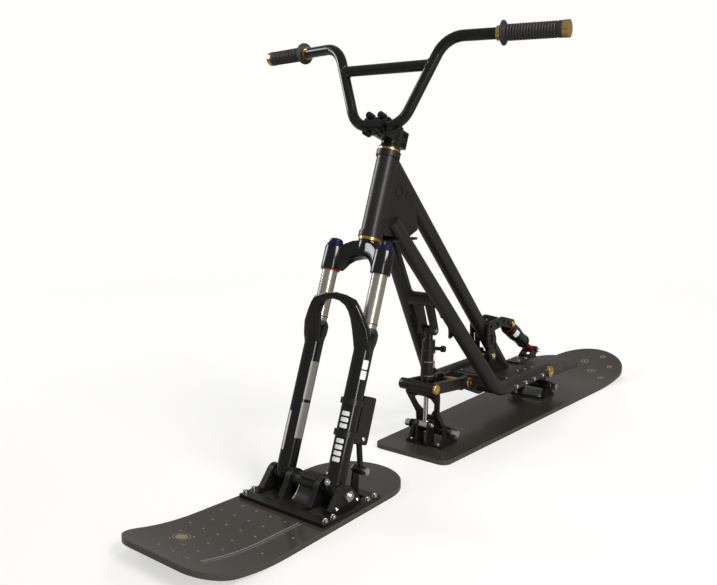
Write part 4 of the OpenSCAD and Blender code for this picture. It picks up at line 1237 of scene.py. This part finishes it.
class Deck(Assembly):
    """Rail screws, gold covers, plate screws and the frame's welds."""

    RAIL_Y = 94.0
    RAIL_Z = 120.0
    TUBE_R = 17.5
    SIDE_TOP = Vector((-96, 20.5, 494))
    SIDE_CORNER = Vector((-371, 94, 120))
    TOP_FROM = Vector((-95, 0, 640))
    TOP_FOOT = Vector((-566, 0, 125))
    CROSS_FRACTION = 0.36
    PLATE_TOP = 125.0
    SEAM_Y = 76.6

    def hardware(self) -> None:
        """Adds the screws in the rails and the plate."""
        rows = [Fixing((-439 - 45 * i, self.RAIL_Y + self.TUBE_R + 3.2, self.RAIL_Z), (0, 1, 0), 4.7,
                       1.4) for i in range(4)]
        rows += [Fixing((x, y, self.PLATE_TOP), (0, 0, 1), 4.2, 2.4)
                 for x, y in ((-470, 66), (-610, 66), (-556, 50), (-582, 58))]
        draft = Draft("rail_screws")
        draft.fixings(self.floor, mirrored(rows))
        self.lay(draft, FRAME_BODY, "bright_steel")
        covers = Draft("rail_covers")
        profile = [(13.4, 0), (13.4, 0.8), (11.6, 2), (6.4, 2), (5.6, 0.4)]
        covers.both_ends(self.floor, (-618, self.RAIL_Y + self.TUBE_R + 4, self.RAIL_Z), profile)
        self.lay(covers, FRAME_BODY, "gold_anodised")

    def welds(self) -> None:
        """Runs the weld beads of the frame's tubes and plate."""
        head_axis = self.steering.to_3x3() @ Vector((0, 0, 1))
        head = self.floor.inverted() @ self.layout.head
        draft = Draft("frame_welds")
        ahead = self.TOP_FROM - self.TOP_FOOT
        curve = saddle(self.TOP_FROM - ahead.normalized() * 80, ahead, self.TUBE_R, head, head_axis, 22.7)
        draft.bead([self.floor @ p for p in curve], 2.1, ahead.normalized())
        cross = self.SIDE_TOP + (self.SIDE_CORNER - self.SIDE_TOP) * self.CROSS_FRACTION
        for side in (-1, 1):
            top, corner = (flipped(p, side) for p in (self.SIDE_TOP, self.SIDE_CORNER))
            curve = saddle(Vector((cross.x, 0, cross.z)), Vector((0, side, 0)), 15.5, top, corner - top,
                           self.TUBE_R + 0.1)
            draft.bead([self.floor @ p for p in curve], 1.9, Vector((0, 1, 0)))
            curve = saddle(Vector((-400, 0, 112)), Vector((0, side, 0)), 9, Vector((-400, 94 * side, 120)),
                           Vector((1, 0, 0)), self.TUBE_R + 0.1)
            draft.bead([self.floor @ p for p in curve], 1.5, Vector((0, 1, 0)))
            for i in range(5):
                run = [Vector((-468 - 34 * i - k, self.SEAM_Y * side, self.PLATE_TOP + 0.2)) for k in range(21)]
                draft.bead([self.floor @ p for p in run], 1.6, Vector((0, 0, 1)), closed=False)
            run = [Vector((-16.6, 15.4 * side, 20 + 1.2 * k)) for k in range(100)]
            draft.bead([self.steering @ p for p in run], 1.7, Vector((0, 1, 0)), closed=False)
        self.lay(draft, FRAME_BODY, "frame_paint")

    def build(self) -> None:
        """Builds every piece of the deck and frame."""
        self.hardware()
        self.welds()


ASSEMBLIES = (Cockpit, Fork, ForkCastings, BoardMount, Boards, FrontLinkage, RearLinkage, Deck)


# Studio


@dataclass
class Studio:
    """Camera, lamps, floor and world."""

    eye: Point = (1643.2, 1060.7, 683.5)
    yaw: float = 39.273
    pitch: float = 9.46
    roll: float = -0.156
    focal_px: float = 829.67
    width_px: int = 717
    sensor: float = 36.0
    floor_size: float = 30.0

    def camera(self) -> Object:
        """Sets up the camera at the photograph's viewing angle."""
        data = bpy.data.cameras.new("camera")
        data.sensor_width = self.sensor
        data.lens = self.focal_px * self.sensor / self.width_px
        data.clip_end = 100
        camera = bpy.data.objects.new("camera", data)
        yaw, pitch = math.radians(self.yaw), math.radians(self.pitch)
        ahead = Vector((-math.cos(yaw) * math.cos(pitch), -math.sin(yaw) * math.cos(pitch), -math.sin(pitch)))
        turned = ahead.to_track_quat("-Z", "Y").to_matrix().to_4x4() @ Matrix.Rotation(math.radians(self.roll), 4, "Z")
        camera.matrix_world = Matrix.Translation(Vector(self.eye) * MM) @ turned
        bpy.context.scene.collection.objects.link(camera)
        bpy.context.scene.camera = camera
        return camera

    def lamp(self, name: str, place: Point, target: Point, size: float, watts: float,
             colour: Colour = (1, 1, 1)) -> Object:
        """Adds a square soft lamp that faces a target, with places in metres."""
        data = bpy.data.lights.new(name, "AREA")
        data.size = size
        data.energy = watts
        data.color = colour
        lamp = bpy.data.objects.new(name, data)
        lamp.location = place
        lamp.rotation_euler = (Vector(target) - Vector(place)).to_track_quat("-Z", "Y").to_euler()
        bpy.context.scene.collection.objects.link(lamp)
        return lamp

    def lamps(self) -> None:
        """Hangs the key, fill, rim and strip lamps."""
        middle = (0.0, 0.0, 0.4)
        self.lamp("key", (0.6, 3.0, 3.2), middle, 1.6, 125, (1.0, 0.97, 0.92))
        self.lamp("fill", (1.0, -3.3, 1.9), middle, 1.4, 45, (0.94, 0.97, 1.0))
        rim = self.lamp("rim", (-2.6, -1.4, 2.6), middle, 1.4, 60)
        rim.visible_glossy = False
        strip = self.lamp("strip", (1.5, 2.5, 0.95), middle, 0.45, 26)
        strip.data.shape = "RECTANGLE"
        strip.data.size_y = 2.0

    def backdrop(self) -> None:
        """Lays the pale floor, which glows for the camera to fade into white and is darker in reflections as painted
        shade.
        """
        bpy.ops.mesh.primitive_plane_add(size=self.floor_size, location=(0, 0, -0.0002))
        floor = bpy.context.object
        floor.name = "studio_floor"
        material = bpy.data.materials.new("pale floor")
        material.use_nodes = True
        wires = Wiring(material.node_tree)
        shader = material.node_tree.nodes["Principled BSDF"]
        output = material.node_tree.nodes["Material Output"]
        glow = wires.node("ShaderNodeEmission")
        glow.inputs["Color"].default_value = (1.0, 0.995, 0.975, 1)
        lights = wires.node("ShaderNodeLightPath")
        # Painted shade: the floor reflects much darker than it is, so that the object's lower faces look shaded
        reflection_shade = wires.blend(lights.outputs["Is Glossy Ray"], (0.93, 0.925, 0.91, 1), (0.3, 0.29, 0.27, 1))
        wires.settle(shader, {"Base Color": reflection_shade, "Roughness": 0.9, "Specular IOR Level": 0.1})
        mixed = wires.node("ShaderNodeMixShader")
        reach = wires.node("ShaderNodeVectorMath", operation="LENGTH")
        wires.join(wires.node("ShaderNodeNewGeometry").outputs["Position"], reach.inputs[0])
        fade = wires.math("MULTIPLY_ADD", wires.ramp(reach.outputs["Value"], 1.1, 3.2), 0.4, 0.6)
        share = wires.math("MULTIPLY", lights.outputs["Is Camera Ray"], fade)
        for source, slot in zip((share, shader.outputs[0], glow.outputs[0]), mixed.inputs):
            wires.join(source, slot)
        wires.join(mixed.outputs[0], output.inputs["Surface"])
        floor.data.materials.append(material)

    def world(self) -> None:
        """Sets a soft world that the camera sees as white."""
        world = bpy.data.worlds.new("studio world")
        bpy.context.scene.world = world
        world.use_nodes = True
        wires = Wiring(world.node_tree)
        background = world.node_tree.nodes["Background"]
        lights = wires.node("ShaderNodeLightPath")
        strength = wires.math("MULTIPLY_ADD", lights.outputs["Is Camera Ray"], 0.75, 0.25)
        wires.settle(background, {"Color": (1.0, 0.995, 0.98, 1), "Strength": strength})

    def build(self) -> None:
        """Builds the whole studio."""
        self.camera()
        self.lamps()
        self.backdrop()
        self.world()
        bpy.context.scene.view_settings.view_transform = "Standard"


def main() -> None:
    """Builds the snowscoot's looks in order."""
    logging.basicConfig(level=logging.INFO, format="%(message)s")
    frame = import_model()
    layout = Layout.read(frame["joints"])
    LOG.info("head at %s", tuple(round(c) for c in layout.head))
    Studio().build()
    paints = Paintbox(Groups.build())
    dress_nodes(frame["nodes"], frame["record"], paints)
    for kind in ASSEMBLIES:
        kind(layout, paints, frame["nodes"]).build()


if __name__ == "__main__":
    main()
